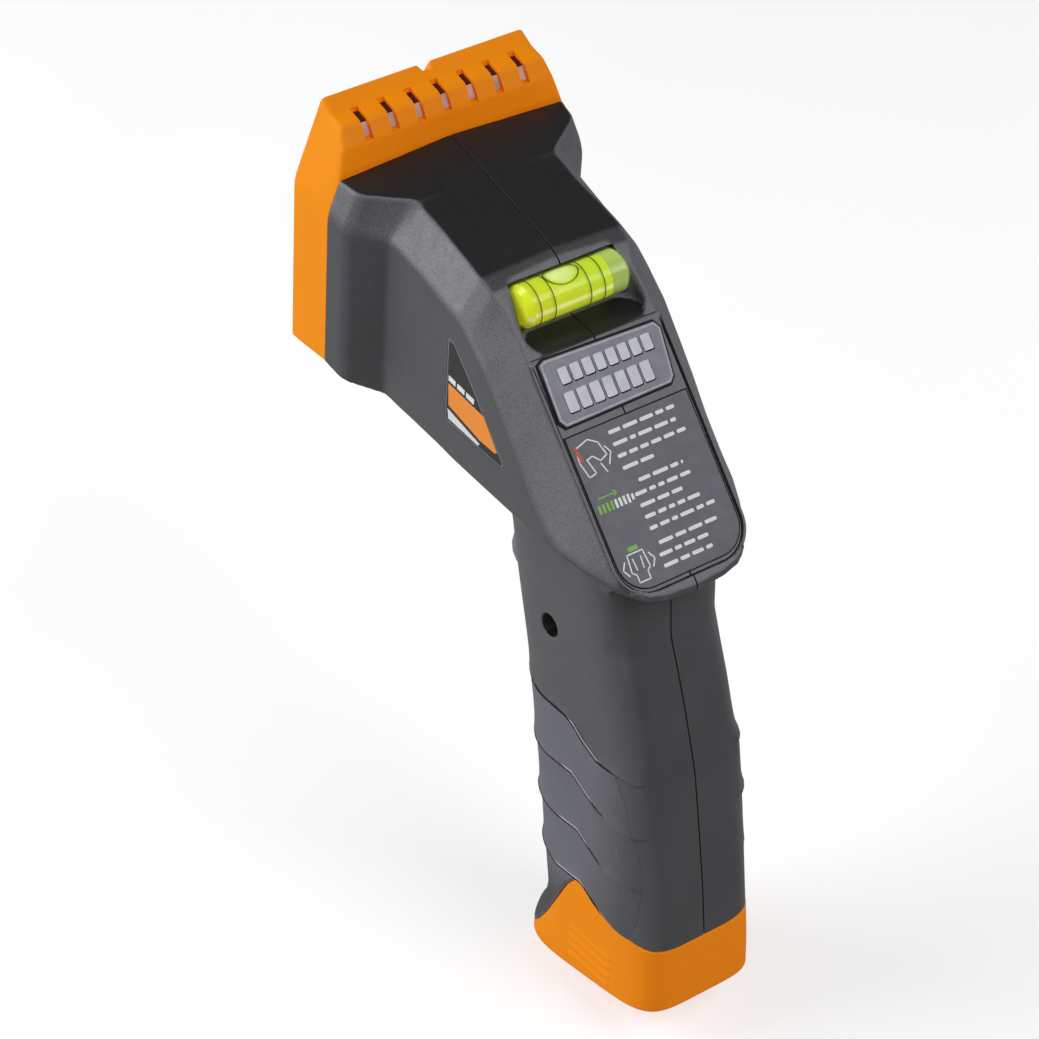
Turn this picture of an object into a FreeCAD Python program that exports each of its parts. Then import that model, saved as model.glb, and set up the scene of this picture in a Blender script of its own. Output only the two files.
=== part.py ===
import FreeCAD, Part
import math
import os

# Hand-held stud finder: scanning head, clamshell body, spirit vial, trigger and pistol handle.
# Millimetres.  +Y points at the wall (front), +X to the user's right, +Z up.
# The origin is the centre of the wall contact face of the sensing plate.

V = FreeCAD.Vector
os.makedirs("parts", exist_ok=True)

# ---------------------------------------------------------------- driving dimensions
WALL = 2.2              # wall of the body and bezel
HANDLE_WALL = 2.4
SEAM = 0.04             # half gap between the two shells
GRIP_SEAM = 0.06        # half gap between the two grips
FIT = 0.02              # gap between parts that touch
GRIP_T = 1.2
SIDE_LABEL_T = 0.45
RECESS_GAP = 0.05       # extra depth of the recesses for the grips and side label
BEZEL_REAR = -12.6
PLATE_T = 2.0           # sensing plate thickness
LED_PITCH = 7.15
LED_COUNT = 7
LED_XS = [(i - (LED_COUNT - 1) / 2) * LED_PITCH for i in range(LED_COUNT)]
SLOT_W = 2.1            # display slots in the bezel
LUG_X = (30.5, 32.1)    # lugs that lock the spigot into the bezel
LUG_Y = (-11.5, -10.2)
LUG_ZS = (-22.0, -2.0)
LUG_HALF_Z = 4.0
LUG_GAP = 0.15
VIAL_Y, VIAL_Z = -57.7, 4.5
VIAL_R = 5.4
VIAL_X0, VIAL_X1 = -14.3, 14.3
PIVOT_Y, PIVOT_Z = -65.5, -50.5
PIN_R = 1.5
PIN_HALF = 13.0
TRIGGER_HALF = 6.5
RAKE_DEG = 14.0
RAKE = math.radians(RAKE_DEG)
BAY_Y, BAY_Z = -99.7, -127.0    # origin of the battery bay frame
BATTERY_W, BATTERY_D, BATTERY_H = 26.5, 17.5, 46.5
BATTERY_BOTTOM = -33.3          # heights in the bay frame
BATTERY_TOP = BATTERY_BOTTOM + BATTERY_H
BASE = -37.7                    # underside of the handle
CAP_FLOOR = BASE + 2.0
PANEL_DEG = 45.29               # slope of the badge and label panel
PANEL_Y, PANEL_Z = -68.6, -2.5  # origin of the panel frame
PANEL_GAP = 0.1
BADGE_T = 1.2
LABEL_T = 0.35
SCREW_R = 1.3
SCREW_HEAD_R = 2.6
# y, z, half width of the shell there
SHELL_SCREWS = [(-80.4, -69.8, 16.6), (-53.0, -19.5, 23.5), (-84.6, -124.0, 16.6)]
BOARD_X0, BOARD_X1 = 3.0, 4.6   # left and right faces of the main board
BOARD_POSTS = [(-36.0, -26.0), (-75.5, -31.0)]    # y, z
LEFT, RIGHT = -1, 1


# ---------------------------------------------------------------- helpers
def wire(pts):
    p = [V(*q) for q in pts]
    return Part.makePolygon(p + [p[0]])


def prism_x(yz, x0, x1):
    return Part.Face(wire([(x0, y, z) for y, z in yz])).extrude(V(x1 - x0, 0, 0))


def prism_y(xz, y0, y1):
    return Part.Face(wire([(x, y0, z) for x, z in xz])).extrude(V(0, y1 - y0, 0))


def prism_z(xy, z0, z1):
    return Part.Face(wire([(x, y, z0) for x, y in xy])).extrude(V(0, 0, z1 - z0))


def box(x0, x1, y0, y1, z0, z1):
    return Part.makeBox(x1 - x0, y1 - y0, z1 - z0, V(x0, y0, z0))


def cyl_x(y, z, r, x0, x1):
    return Part.makeCylinder(r, x1 - x0, V(x0, y, z), V(1, 0, 0))


def cyl_y(x, z, r, y0, y1):
    return Part.makeCylinder(r, y1 - y0, V(x, y0, z), V(0, 1, 0))


def cyl_z(x, y, r, z0, z1):
    return Part.makeCylinder(r, z1 - z0, V(x, y, z0), V(0, 0, 1))


def loft_y(sections):
    # straight-sided loft through (y, [(x, z), ...]) sections
    return Part.makeLoft([wire([(x, y, z) for x, z in xz]) for y, xz in sections], True, True)


def tidy(s):
    # merge split faces, keeping the original where the merge would change the volume
    t = s.removeSplitter()
    return t if t.isValid() and abs(t.Volume - s.Volume) < 1e-5 * s.Volume else s


def span(side, near, far):
    # x range between two distances from the seam, on the left or right
    return sorted((side * near, side * far))


def side_box(side, seam):
    # everything on one side of the seam
    return box(*span(side, seam, 60.0), -200, 20, -220, 60)


def mirrored(right_points):
    # close an outline with the mirror image of its right half
    return right_points + [(-x, v) for x, v in reversed(right_points)]


def inset(poly, t):
    # move every edge of a convex clockwise outline inwards by t
    out = []
    for i, b in enumerate(poly):
        a, c = poly[i - 1], poly[(i + 1) % len(poly)]
        e1 = (b[0] - a[0], b[1] - a[1])
        e2 = (c[0] - b[0], c[1] - b[1])
        l1, l2 = math.hypot(*e1), math.hypot(*e2)
        n1 = (e1[1] / l1, -e1[0] / l1)
        n2 = (e2[1] / l2, -e2[0] / l2)
        k = 1 + n1[0] * n2[0] + n1[1] * n2[1]
        out.append((b[0] + t * (n1[0] + n2[0]) / k, b[1] + t * (n1[1] + n2[1]) / k))
    return out


def clip_bottom(p, c):
    # cut the two bottom corners (points 2 and 3 of six) back by c
    (xr, zr), (xl, zl) = p[2], p[3]
    return p[:2] + [(xr, zr + c), (xr - c, zr), (xl + c, zl), (xl, zl + c)] + p[4:]


def bay(s):
    # from the battery bay frame (x, depth, height up the handle) to the main frame
    s = s.copy()
    s.rotate(V(0, 0, 0), V(1, 0, 0), -RAKE_DEG)
    s.translate(V(0, BAY_Y, BAY_Z))
    return s


def panel(s):
    # from the panel frame (-Y down the slope, +Z out of it) to the main frame
    s = s.copy()
    s.rotate(V(0, 0, 0), V(1, 0, 0), PANEL_DEG)
    s.translate(V(0, PANEL_Y, PANEL_Z))
    return s


def save(name, s):
    s.exportStep("parts/%s.step" % name)


# ---------------------------------------------------------------- body of the clamshell
# y, ridge z, top edge x, z, side edge x, z, bottom x, z, wall factor
BODY = [
    (BEZEL_REAR, 18.40, 30.7, 17.75, 33.6, 9.6, 33.9, -31.05, 1.0),
    (-19.0, 17.50, 29.4, 17.0, 32.4, 7.6, 32.4, -32.7, 1.0),
    (-25.4, 16.50, 19.4, 16.1, 25.9, 7.2, 25.9, -35.4, 1.0),
    (-31.0, 15.00, 18.6, 14.4, 25.4, 6.9, 25.4, -35.9, 1.0),
    (-44.0, 12.90, 19.0, 12.1, 25.1, 3.3, 25.1, -36.6, 1.0),
    (-53.8, 10.20, 19.2, 9.3, 25.1, 0.0, 25.1, -36.9, 1.05),
    (-58.1, 6.20, 17.9, 5.8, 25.1, -3.2, 25.1, -37.0, 1.2),
    (-62.0, 3.00, 17.7, 2.7, 25.1, -6.6, 25.1, -37.1, 1.3),
    (-67.8, -1.70, 17.9, -1.8, 25.1, -12.8, 25.1, -37.2, 1.35),
    (-77.1, -11.09, 18.0, -11.12, 25.1, -23.6, 25.1, -37.3, 1.4),
    (-87.0, -21.09, 18.2, -21.12, 24.9, -34.2, 24.9, -37.6, 1.4),
    (-97.0, -31.19, 18.1, -31.22, 22.0, -38.6, 22.0, -40.2, 1.4),
    (-104.7, -38.97, 17.2, -39.0, 18.4, -41.6, 18.4, -44.0, 1.4),
    (-109.6, -43.7, 9.6, -43.75, 10.6, -44.7, 10.6, -46.4, 1.4),
]
# rear end of the cavity: y, ridge z, top edge x, side x, side edge z, bottom z
CAVITY_REAR = [
    (-87.0, -24.3, 15.6, 20.6, -32.4, -34.4),
    (-96.0, -33.4, 15.0, 17.6, -35.6, -36.9),
    (-101.0, -38.4, 13.6, 14.6, -39.2, -40.2),
]
CAVITY_STATIONS = 10    # body stations the cavity follows


def body_outline(station, t=0.0):
    _, ridge, xt, zt, xs, zs, xb, zb, factor = station
    p = [(0, ridge)] + mirrored([(xt, zt), (xs, zs), (xb, zb)])
    return inset(p, t * factor) if t else p


def body(t=0.0):
    return loft_y([(s[0], body_outline(s, t)) for s in BODY])


def body_cavity(t):
    sections = [(s[0], body_outline(s, t)) for s in BODY[:CAVITY_STATIONS]]
    # the first section stands 1 mm forward so that the front is left open
    sections[0] = (BODY[0][0] + 1.0, sections[0][1])
    for y, ridge, xt, xs, zs, zb in CAVITY_REAR:
        sections.append((y, [(0, ridge)] + mirrored([(xt, ridge - 0.05), (xs, zs), (xs, zb)])))
    return loft_y(sections)


# ---------------------------------------------------------------- pistol handle
# z, front y, back y, half width
HANDLE = [
    (-33.5, -56.2, -94.0, 20.2),
    (-38.5, -56.5, -99.8, 19.8),
    (-45.0, -57.1, -101.0, 18.4),
    (-52.0, -57.8, -101.7, 17.4),
    (-64.0, -60.2, -102.4, 16.9),
    (-80.0, -64.6, -109.4, 16.8),
    (-96.0, -69.2, -115.6, 17.0),
    (-112.0, -72.6, -119.9, 17.0),
    (-127.0, -75.8, -123.2, 17.0),
    (-142.0, -79.0, -125.8, 17.1),
    (-150.0, -80.8, -127.0, 17.2),
    (-156.0, -80.0, -127.8, 17.2),
    (-161.0, -77.2, -128.4, 17.2),
    (-167.0, -75.4, -129.0, 17.2),
    (-178.0, -76.4, -130.2, 17.2),
]
SQUARENESS = 3.4        # superellipse exponent of the handle section
HALF_STEPS = 24         # point intervals around each half section


def superellipse(c):
    return math.copysign(abs(c) ** (2 / SQUARENESS), c)


def handle(t=0.0):
    # each section is a right and a left spline that meet on the centre plane
    sections = []
    for z, front, back, half_width in HANDLE:
        a, b, mid = half_width - t, (front - back) / 2 - t, (front + back) / 2
        edges = []
        for start, direction in ((-90.0, 1.0), (90.0, -1.0)):
            pts = []
            for i in range(HALF_STEPS + 1):
                q = math.radians(start + 180.0 / HALF_STEPS * i)
                cos = 0.0 if i in (0, HALF_STEPS) else math.cos(q)
                pts.append(V(a * superellipse(cos), mid + b * superellipse(math.sin(q)), z))
            curve = Part.BSplineCurve()
            curve.interpolate(Points=pts, InitialTangent=V(direction, 0, 0),
                              FinalTangent=V(-direction, 0, 0))
            edges.append(curve.toShape())
        sections.append(Part.Wire(edges))
    return Part.makeLoft(sections, True, False)


def below(height):
    # everything under a height in the bay frame
    return bay(box(-60, 60, -200.0, 200.0, -200.0, height))


handle_outer = handle().cut(below(BASE)).Solids[0]
handle_inner = handle(HANDLE_WALL)
body_outer = body()
outer = body_outer.fuse(handle_outer)
inner = body_cavity(WALL).fuse(handle_inner)

# boundary between the shells and the battery cap, seen from the side: y, z
CAP_LINE = [
    (-60.0, -195.3), (-78.6, -169.8), (-86.2, -159.4), (-95.0, -140.8), (-97.6, -137.4),
    (-101.3, -136.2), (-107.2, -137.2), (-122.2, -140.1), (-145.0, -144.6),
]
CAP_GAP = 0.15
cap_zone = prism_x(CAP_LINE + [(-145.0, -210.0), (-60.0, -210.0)], -40, 40)
cap_clearance = cap_zone.copy()
cap_clearance.translate(V(0, math.sin(RAKE) * CAP_GAP, math.cos(RAKE) * CAP_GAP))

# ---------------------------------------------------------------- features inside the shells
# front collar, and the spigot that enters the bezel
COLLAR_DEPTH = 3.0
front_opening = prism_y(body_outline(BODY[0], 4.0), -20, 0)
collar = body_outer.common(box(-50, 50, BEZEL_REAR - COLLAR_DEPTH, BEZEL_REAR, -50, 50))
collar = collar.cut(front_opening)
spigot_outline = clip_bottom(body_outline(BODY[0], 2.35)[1:], 1.0)
spigot = prism_y(spigot_outline, -13.2, -9.6).cut(front_opening)

# vial pocket, open at the top: x, y of the right half
POCKET = mirrored([(13.6, -53.6), (15.8, -56.0), (15.8, -65.2), (12.8, -67.9)])
POCKET_MID_Y = -60.75
POCKET_FLOOR = -1.6
POCKET_TOP = 30
pocket = prism_z(POCKET, POCKET_FLOOR, POCKET_TOP).fuse(
    cyl_x(VIAL_Y, VIAL_Z, VIAL_R + 0.12, VIAL_X0 - 0.3, VIAL_X1 + 0.3))
pocket_wall_outline = [(x * 1.115, POCKET_MID_Y + (y - POCKET_MID_Y) * 1.24) for x, y in POCKET]
pocket_wall = prism_z(pocket_wall_outline, POCKET_FLOOR - 1.8, POCKET_TOP).common(body_outer)

# room for the trigger: y, z
TRIGGER_ROOM = [(-45, -45.2), (-61.8, -45.2), (-61.8, -53.8), (-69.5, -53.8), (-69.5, -76.6),
                (-45, -76.6)]
trigger_room = prism_x(TRIGGER_ROOM, -TRIGGER_HALF - 0.35, TRIGGER_HALF + 0.35)

# zone of the soft grips, seen from the side: y, z
GRIP = [
    (-60.0, -88.6), (-76.0, -88.6), (-90.0, -88.0), (-96.6, -90.8), (-107.6, -92.2),
    (-110.5, -107.0), (-114.6, -122.0), (-113.0, -134.6), (-101.4, -133.4), (-96.4, -134.9),
    (-93.0, -138.8), (-83.8, -158.0), (-60.0, -158.0),
]
grip_zone = prism_x(GRIP, -40, 40)

# recess for the side label on the left, and the label in it: y, z
SIDE_RECESS = [(-47.9, -5.2), (-50.3, -5.3), (-57.4, -12.2), (-62.6, -17.7), (-70.6, -26.3),
               (-69.5, -27.6), (-49.0, -28.0), (-47.9, -27.2)]
SIDE_LABEL = [(-48.25, -5.6), (-50.15, -5.7), (-57.15, -12.5), (-62.3, -17.95), (-70.1, -26.3),
              (-69.3, -27.25), (-49.1, -27.65), (-48.25, -27.05)]
SIDE_X = (-40, -15)

SWITCH_RIBS_Y = ((-73.45, -72.4), (-76.4, -75.25))    # in front of and behind the switch board


def lugs(side):
    return [box(*span(side, *LUG_X), *LUG_Y, z - LUG_HALF_Z, z + LUG_HALF_Z) for z in LUG_ZS]


def bosses(side):
    radius = 4.6 if side == LEFT else 3.3
    out = [cyl_x(y, z, radius, *span(side, 0.2, hw)) for y, z, hw in SHELL_SCREWS]
    out.append(cyl_x(PIVOT_Y, PIVOT_Z, 3.4, *span(side, 7.3, 16.2)))
    if side == RIGHT:
        out += [cyl_x(y, z, 2.6, BOARD_X1 + 0.03, 24.3) for y, z in BOARD_POSTS]
    # ribs that hold the switch board
    out += [box(*span(side, 7.8, 15.5), y0, y1, -66.0, -55.0) for y0, y1 in SWITCH_RIBS_Y]
    return out


def shell_holes():
    out = []
    for y, z, hw in SHELL_SCREWS:
        out.append(cyl_x(y, z, 3.0, -hw - 4, -9.0))                # screw head
        out.append(cyl_x(y, z, SCREW_R + 0.15, -9.5, 0.5))         # clearance in the left shell
        out.append(cyl_x(y, z, SCREW_R + 0.05, 0.0, 10.5))         # thread in the right shell
    out.append(cyl_x(PIVOT_Y, PIVOT_Z, PIN_R + FIT, -PIN_HALF - 0.1, PIN_HALF + 0.1))
    out += [cyl_x(y, z, 0.95, BOARD_X1 - 1, 12.0) for y, z in BOARD_POSTS]
    return out


def shell(side):
    # hollow the half first, then join its features, then cut the openings and recesses
    zone = side_box(side, SEAM)
    solid_half = outer.common(zone)
    s = solid_half.cut(inner).cut(cap_clearance)
    adds = [q.common(zone) for q in [collar, spigot, pocket_wall] + lugs(side)]
    adds += [q.common(solid_half) for q in bosses(side)]
    s = s.multiFuse([q for q in adds if q.Volume > 1e-6])
    for q in shell_holes() + [pocket, trigger_room]:
        s = s.cut(q)
    grip_skin = handle_outer.cut(handle(GRIP_T + RECESS_GAP))
    s = s.cut(grip_skin.common(grip_zone).common(zone))
    if side == LEFT:
        label_skin = body_outer.cut(body(SIDE_LABEL_T + RECESS_GAP))
        s = s.cut(label_skin.common(prism_x(SIDE_RECESS, *SIDE_X)))
    return tidy(s)


save("left_shell", shell(LEFT))
save("right_shell", shell(RIGHT))

side_label = body_outer.cut(body(SIDE_LABEL_T)).common(prism_x(SIDE_LABEL, *SIDE_X))
save("side_label", side_label)

grip = handle_outer.cut(handle(GRIP_T)).common(grip_zone)
grip = grip.cut(box(-8, 8, -69.5, -45, -77.0, -44))    # keeps clear of the trigger
save("left_grip", grip.common(side_box(LEFT, GRIP_SEAM)))
save("right_grip", grip.common(side_box(RIGHT, GRIP_SEAM)))

# ---------------------------------------------------------------- bezel and sensing plate
# y, top x, z, shoulder x, z, bottom x, z
BEZEL = [
    (0.0, 27.5, 31.5, 34.3, 12.5, 34.2, -31.4),
    (-3.8, 28.2, 29.3, 34.2, 12.2, 34.1, -31.3),
    (-8.4, 28.4, 28.4, 33.9, 11.2, 34.0, -31.2),
    (-10.75, 29.3, 24.2, 33.75, 10.4, 33.95, -31.12),
    (-12.55, 30.7, 17.8, 33.6, 9.6, 33.9, -31.05),
]
# same columns, outer size before the wall is taken off
BEZEL_CAVITY = [
    (4.0,) + BEZEL[1][1:],
    BEZEL[1],
    (-7.0, 28.3, 27.9, 33.95, 11.3, 34.0, -31.2),
    (-9.3, 28.8, 24.0, 33.8, 10.6, 33.95, -31.12),
    (-11.3, 30.2, 19.4, 33.7, 10.0, 33.9, -31.05),
    (-14.0, 30.7, 17.75, 33.6, 9.6, 33.9, -31.05),
]


def bezel_outline(station, t=0.0):
    _, xt, zt, xs, zs, xb, zb = station
    p = mirrored([(xt, zt), (xs, zs), (xb, zb)])
    if t:
        p = inset(p, t)
    return clip_bottom(p, max(0.5, 1.5 - 0.35 * t))


def bezel():
    solid = loft_y([(s[0], bezel_outline(s)) for s in BEZEL])
    s = solid.cut(loft_y([(c[0], bezel_outline(c, WALL)) for c in BEZEL_CAVITY]))
    slots = [box(x - SLOT_W / 2, x + SLOT_W / 2, -12.5, -3.8, 24.2, 34) for x in LED_XS]
    s = s.cut(slots[0].multiFuse(slots[1:]))
    # centre notch in the front top edge
    s = s.cut(prism_y(mirrored([(1.85, 32.5), (1.85, 31.5), (1.1, 30.4)]), -4.2, 1))
    grooves = []
    half_z = LUG_HALF_Z + LUG_GAP
    for side in (LEFT, RIGHT):
        for z in LUG_ZS:
            grooves.append(box(*span(side, 30.0, LUG_X[1] + LUG_GAP), LUG_Y[0] - LUG_GAP,
                               LUG_Y[1] + LUG_GAP, z - half_z, z + half_z))
    s = s.cut(grooves[0].multiFuse(grooves[1:]))
    # inner ledge the sensing plate rests on
    ledge = prism_y(bezel_outline(BEZEL[1], 1.0), -3.6, -PLATE_T - 0.05)
    ledge = ledge.cut(prism_y(bezel_outline(BEZEL[1], 4.2), -5, 1)).common(solid)
    return tidy(s.fuse(ledge))


save("front_bezel", bezel())
save("sensing_plate", prism_y(bezel_outline(BEZEL[1], WALL + 0.12), -PLATE_T, 0.0))

# ---------------------------------------------------------------- head internals
# light pipe: a bar with one finger per display slot; finger outline y, z
FINGER = [(-4.4, 22.6), (-4.4, 28.2), (-7.9, 27.5), (-9.6, 24.75), (-9.4, 24.35),
          (-6.9, 24.35), (-6.9, 22.6)]
FINGER_HALF = SLOT_W / 2 - 0.1
pipe = box(-24.6, 24.6, -6.9, -4.4, 21.4, 23.2)
pipe = pipe.multiFuse([prism_x(FINGER, x - FINGER_HALF, x + FINGER_HALF) for x in LED_XS])
save("light_pipe", tidy(pipe))

SENSOR_FRONT, SENSOR_BACK = -4.4, -6.0
SENSOR_BOARD = mirrored([(25.5, 21.0), (28.5, 10.0), (28.5, -25.5)])    # x, z
save("sensor_board", prism_y(SENSOR_BOARD, SENSOR_BACK, SENSOR_FRONT))

ELECTRODES_X = ((-26.5, -10.5), (-8.0, 8.0), (10.5, 26.5))
electrode_y = (SENSOR_FRONT + FIT, SENSOR_FRONT + 0.32)
save("sensor_electrodes",
     Part.makeCompound([box(*xs, *electrode_y, -23.0, 8.0) for xs in ELECTRODES_X]))


def led(x):
    # block with a round lens on top
    block = box(x - 1.6, x + 1.6, SENSOR_BACK - 1.52, SENSOR_BACK - FIT, 18.2, 20.2)
    return block.fuse(cyl_z(x, SENSOR_BACK - 0.85, 0.8, 20.1, 21.0))


save("display_leds", Part.makeCompound([led(x) for x in LED_XS]))
save("sensor_socket", box(-1.5, 1.5, SENSOR_BACK - 2.0, SENSOR_BACK - FIT, -13.0, -1.0))

# ---------------------------------------------------------------- main board in the body
# y, z
MAIN_BOARD = [(-28.0, 2.0), (-48.0, 0.0), (-53.0, -6.5), (-70.0, -9.5), (-84.0, -25.0),
              (-84.0, -36.0), (-61.0, -33.8), (-28.0, -31.0)]
main_board = prism_x(MAIN_BOARD, BOARD_X0, BOARD_X1)
main_board = main_board.cut(cyl_x(*SHELL_SCREWS[1][:2], 5.3, 0, 10))    # clears the screw boss
for y, z in BOARD_POSTS:
    main_board = main_board.cut(cyl_x(y, z, 1.15, 0, 10))
save("main_board", main_board)


def board_screw(y, z):
    shank = cyl_x(y, z, 0.9, BOARD_X0 - 0.1, 11.0)
    return shank.fuse(cyl_x(y, z, 2.0, BOARD_X0 - 1.4, BOARD_X0 - 0.03))


save("board_screws", Part.makeCompound([board_screw(y, z) for y, z in BOARD_POSTS]))

# parts on the left face of the board
PART_X1 = BOARD_X0 - FIT
BUZZER_Y, BUZZER_Z = -68.5, -22.5
save("microcontroller", box(1.5, PART_X1, -45.0, -35.0, -12.0, -2.0))
buzzer = cyl_x(BUZZER_Y, BUZZER_Z, 6.0, -1.6, PART_X1)
save("buzzer", tidy(buzzer.cut(cyl_x(BUZZER_Y, BUZZER_Z, 1.1, -2.0, -0.6))))
save("board_socket", box(0.9, PART_X1, -33.0, -28.6, -13.0, -1.0))
save("power_socket", box(-2.2, PART_X1, -83.5, -77.5, -35.6, -29.6))

# flat flex between the two boards: x, y of its centre line
FLEX_PATH = [(0.0, -8.1), (0.0, -13.0), (1.6, -19.0), (1.9, -24.0), (1.9, -28.5)]
FLEX_HALF = 0.15
flex_left = [(x - FLEX_HALF, y) for x, y in FLEX_PATH]
flex_right = [(x + FLEX_HALF, y) for x, y in reversed(FLEX_PATH)]
save("flex_cable", prism_z(flex_left + flex_right, -12.0, -2.0))

# ---------------------------------------------------------------- trigger group
# y, z
TRIGGER = [
    (-57.6, -46.4), (-56.4, -50.0), (-56.2, -56.0), (-55.2, -61.0), (-53.0, -66.0),
    (-52.2, -69.6), (-53.4, -73.0), (-56.8, -75.5), (-61.4, -75.7), (-63.4, -73.8),
    (-64.0, -69.0), (-65.2, -62.0), (-66.6, -54.6),
]
TRIGGER_TOP = [(-58.0, -46.4), (-65.5, -47.3), (-66.6, -54.6), (-58.0, -56.0)]
trigger = prism_x(TRIGGER, -TRIGGER_HALF, TRIGGER_HALF)
trigger = trigger.fuse(cyl_x(PIVOT_Y, PIVOT_Z, 3.2, -TRIGGER_HALF, TRIGGER_HALF))
trigger = trigger.fuse(prism_x(TRIGGER_TOP, -TRIGGER_HALF, TRIGGER_HALF))
trigger = trigger.removeSplitter()
trigger = trigger.cut(cyl_x(PIVOT_Y, PIVOT_Z, PIN_R + 0.05, -10, 10))
trigger = trigger.cut(box(-2.7, 2.7, -66.5, -62.2, -72.3, -67.2))    # spring seat
save("trigger", tidy(trigger))
save("trigger_pin", cyl_x(PIVOT_Y, PIVOT_Z, PIN_R, -PIN_HALF, PIN_HALF))

SWITCH_BACK, SWITCH_FRONT = -75.2, -73.6    # faces of the switch board
SWITCH_Z = -62.0
PLUNGER_R = 1.55
DOME_Y = -66.8
switch_board = box(-9.5, 9.5, SWITCH_BACK, SWITCH_FRONT, -76.0, -55.5)
save("switch_board", switch_board.cut(cyl_x(*SHELL_SCREWS[0][:2], 5.0, -12, 12)))
switch = box(-3.5, 3.5, SWITCH_FRONT + FIT, -69.6, -65.4, -58.4)
save("switch_body", switch.cut(cyl_y(0, SWITCH_Z, 1.6, -73.3, -69.0)))
dome = Part.makeSphere(PLUNGER_R, V(0, DOME_Y, SWITCH_Z))
dome = dome.common(box(-3, 3, DOME_Y, -65, -64, -60))
save("switch_plunger", tidy(cyl_y(0, SWITCH_Z, PLUNGER_R, -72.0, DOME_Y).fuse(dome)))

# return spring, running back along -Y from the trigger
SPRING_PITCH, SPRING_COILS = 1.72, 6.0
SPRING_R, SPRING_WIRE_R = 2.0, 0.27
helix = Part.makeHelix(SPRING_PITCH, SPRING_PITCH * SPRING_COILS, SPRING_R)
circle = Part.Circle(V(SPRING_R, 0, 0), V(0, 1, 0), SPRING_WIRE_R)
spring = Part.Wire(helix).makePipeShell([Part.Wire([Part.Edge(circle)])], True, True)
spring.rotate(V(0, 0, 0), V(1, 0, 0), 90)
spring.translate(V(0, -62.8, -69.75))
save("return_spring", spring)

# ---------------------------------------------------------------- battery bay
battery = bay(box(-BATTERY_W / 2, BATTERY_W / 2, -BATTERY_D / 2, BATTERY_D / 2,
                  BATTERY_BOTTOM, BATTERY_TOP))
long_edges = [e for e in battery.Edges if abs(e.Length - BATTERY_H) < 0.01]
save("battery", battery.makeFillet(1.6, long_edges))

# a solid terminal on the left and a hollow one on the right; the connector mates with both
TERMINAL_X = 6.35
TOP = BATTERY_TOP
solid_terminal = cyl_z(-TERMINAL_X, 0, 2.9, TOP + FIT, TOP + 2.2)
hollow_terminal = cyl_z(TERMINAL_X, 0, 3.9, TOP + FIT, TOP + 2.2)
hollow_terminal = hollow_terminal.cut(cyl_z(TERMINAL_X, 0, 2.6, TOP + 0.8, TOP + 3))
save("battery_terminals", Part.makeCompound([bay(solid_terminal), bay(hollow_terminal)]))

connector_ring = cyl_z(-TERMINAL_X, 0, 4.1, TOP + 0.5, TOP + 2.6)
connector_ring = connector_ring.cut(cyl_z(-TERMINAL_X, 0, 3.05, TOP + 0.4, TOP + 2.5))
connector = box(-12.8, 12.8, -6.2, 6.2, TOP + 2.5, TOP + 4.7).fuse(connector_ring)
connector = connector.fuse(cyl_z(TERMINAL_X, 0, 2.4, TOP + 1.2, TOP + 2.6))
save("battery_connector", bay(tidy(connector)))

# cap with a front and a back arm
cap = handle_outer.cut(handle_inner.cut(below(CAP_FLOOR)).Solids[0]).common(cap_zone)
ARMS = ((17.9, 19.3, -12.0), (-18.2, -16.9, -6.0))    # back, front, top in the bay frame
cap = cap.fuse([bay(box(-5, 5, y0, y1, BASE + 1.5, top)) for y0, y1, top in ARMS])
save("battery_cap", tidy(cap))
save("battery_pad", bay(box(-11, 11, -7, 7, CAP_FLOOR + 0.05, BATTERY_BOTTOM - 0.05)))

# leads from the connector up to the power socket: x, y, z
RED_LEAD = [
    (-6.3, -94.6, -107.9), (-5.4, -94.8, -100.0), (-3.4, -93.5, -85.0), (-1.6, -92.0, -70.0),
    (-0.8, -89.5, -55.0), (-1.0, -84.5, -40.0), (-1.0, -81.6, -36.6),
]
BLACK_LEAD = [
    (6.3, -94.6, -107.9), (5.8, -94.8, -100.0), (4.2, -94.5, -85.0), (2.2, -93.5, -70.0),
    (1.4, -90.5, -55.0), (1.2, -84.3, -40.0), (1.2, -80.4, -36.6),
]
LEAD_R = 0.65


def lead(pts):
    curve = Part.BSplineCurve()
    curve.interpolate([V(*p) for p in pts])
    direction = curve.tangent(curve.FirstParameter)[0]
    section = Part.Wire([Part.Edge(Part.Circle(V(*pts[0]), direction, LEAD_R))])
    return Part.Wire([curve.toShape()]).makePipeShell([section], True, True)


save("red_lead", lead(RED_LEAD))
save("black_lead", lead(BLACK_LEAD))


# ---------------------------------------------------------------- shell screws
def shell_screw(y, z):
    # cross-slotted head on the left
    s = cyl_x(y, z, SCREW_R, -9.4, 9.6).fuse(cyl_x(y, z, SCREW_HEAD_R, -10.9, -9.03))
    for dy, dz in ((0.35, 1.6), (1.6, 0.35)):
        s = s.cut(box(-11.5, -10.1, y - dy, y + dy, z - dz, z + dz))
    return s


save("shell_screws", Part.makeCompound([shell_screw(y, z) for y, z, _ in SHELL_SCREWS]))

# ---------------------------------------------------------------- spirit vial
PLUG_X = 8.8            # inner end of the plug
BUBBLE_X = -2.5
LINE_OFFSETS = (-8.7, -4.85, 4.85, 8.7)    # marking rings, from the bubble's centre


def vial_cyl(r, x0, x1):
    return cyl_x(VIAL_Y, VIAL_Z, r, x0, x1)


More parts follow.
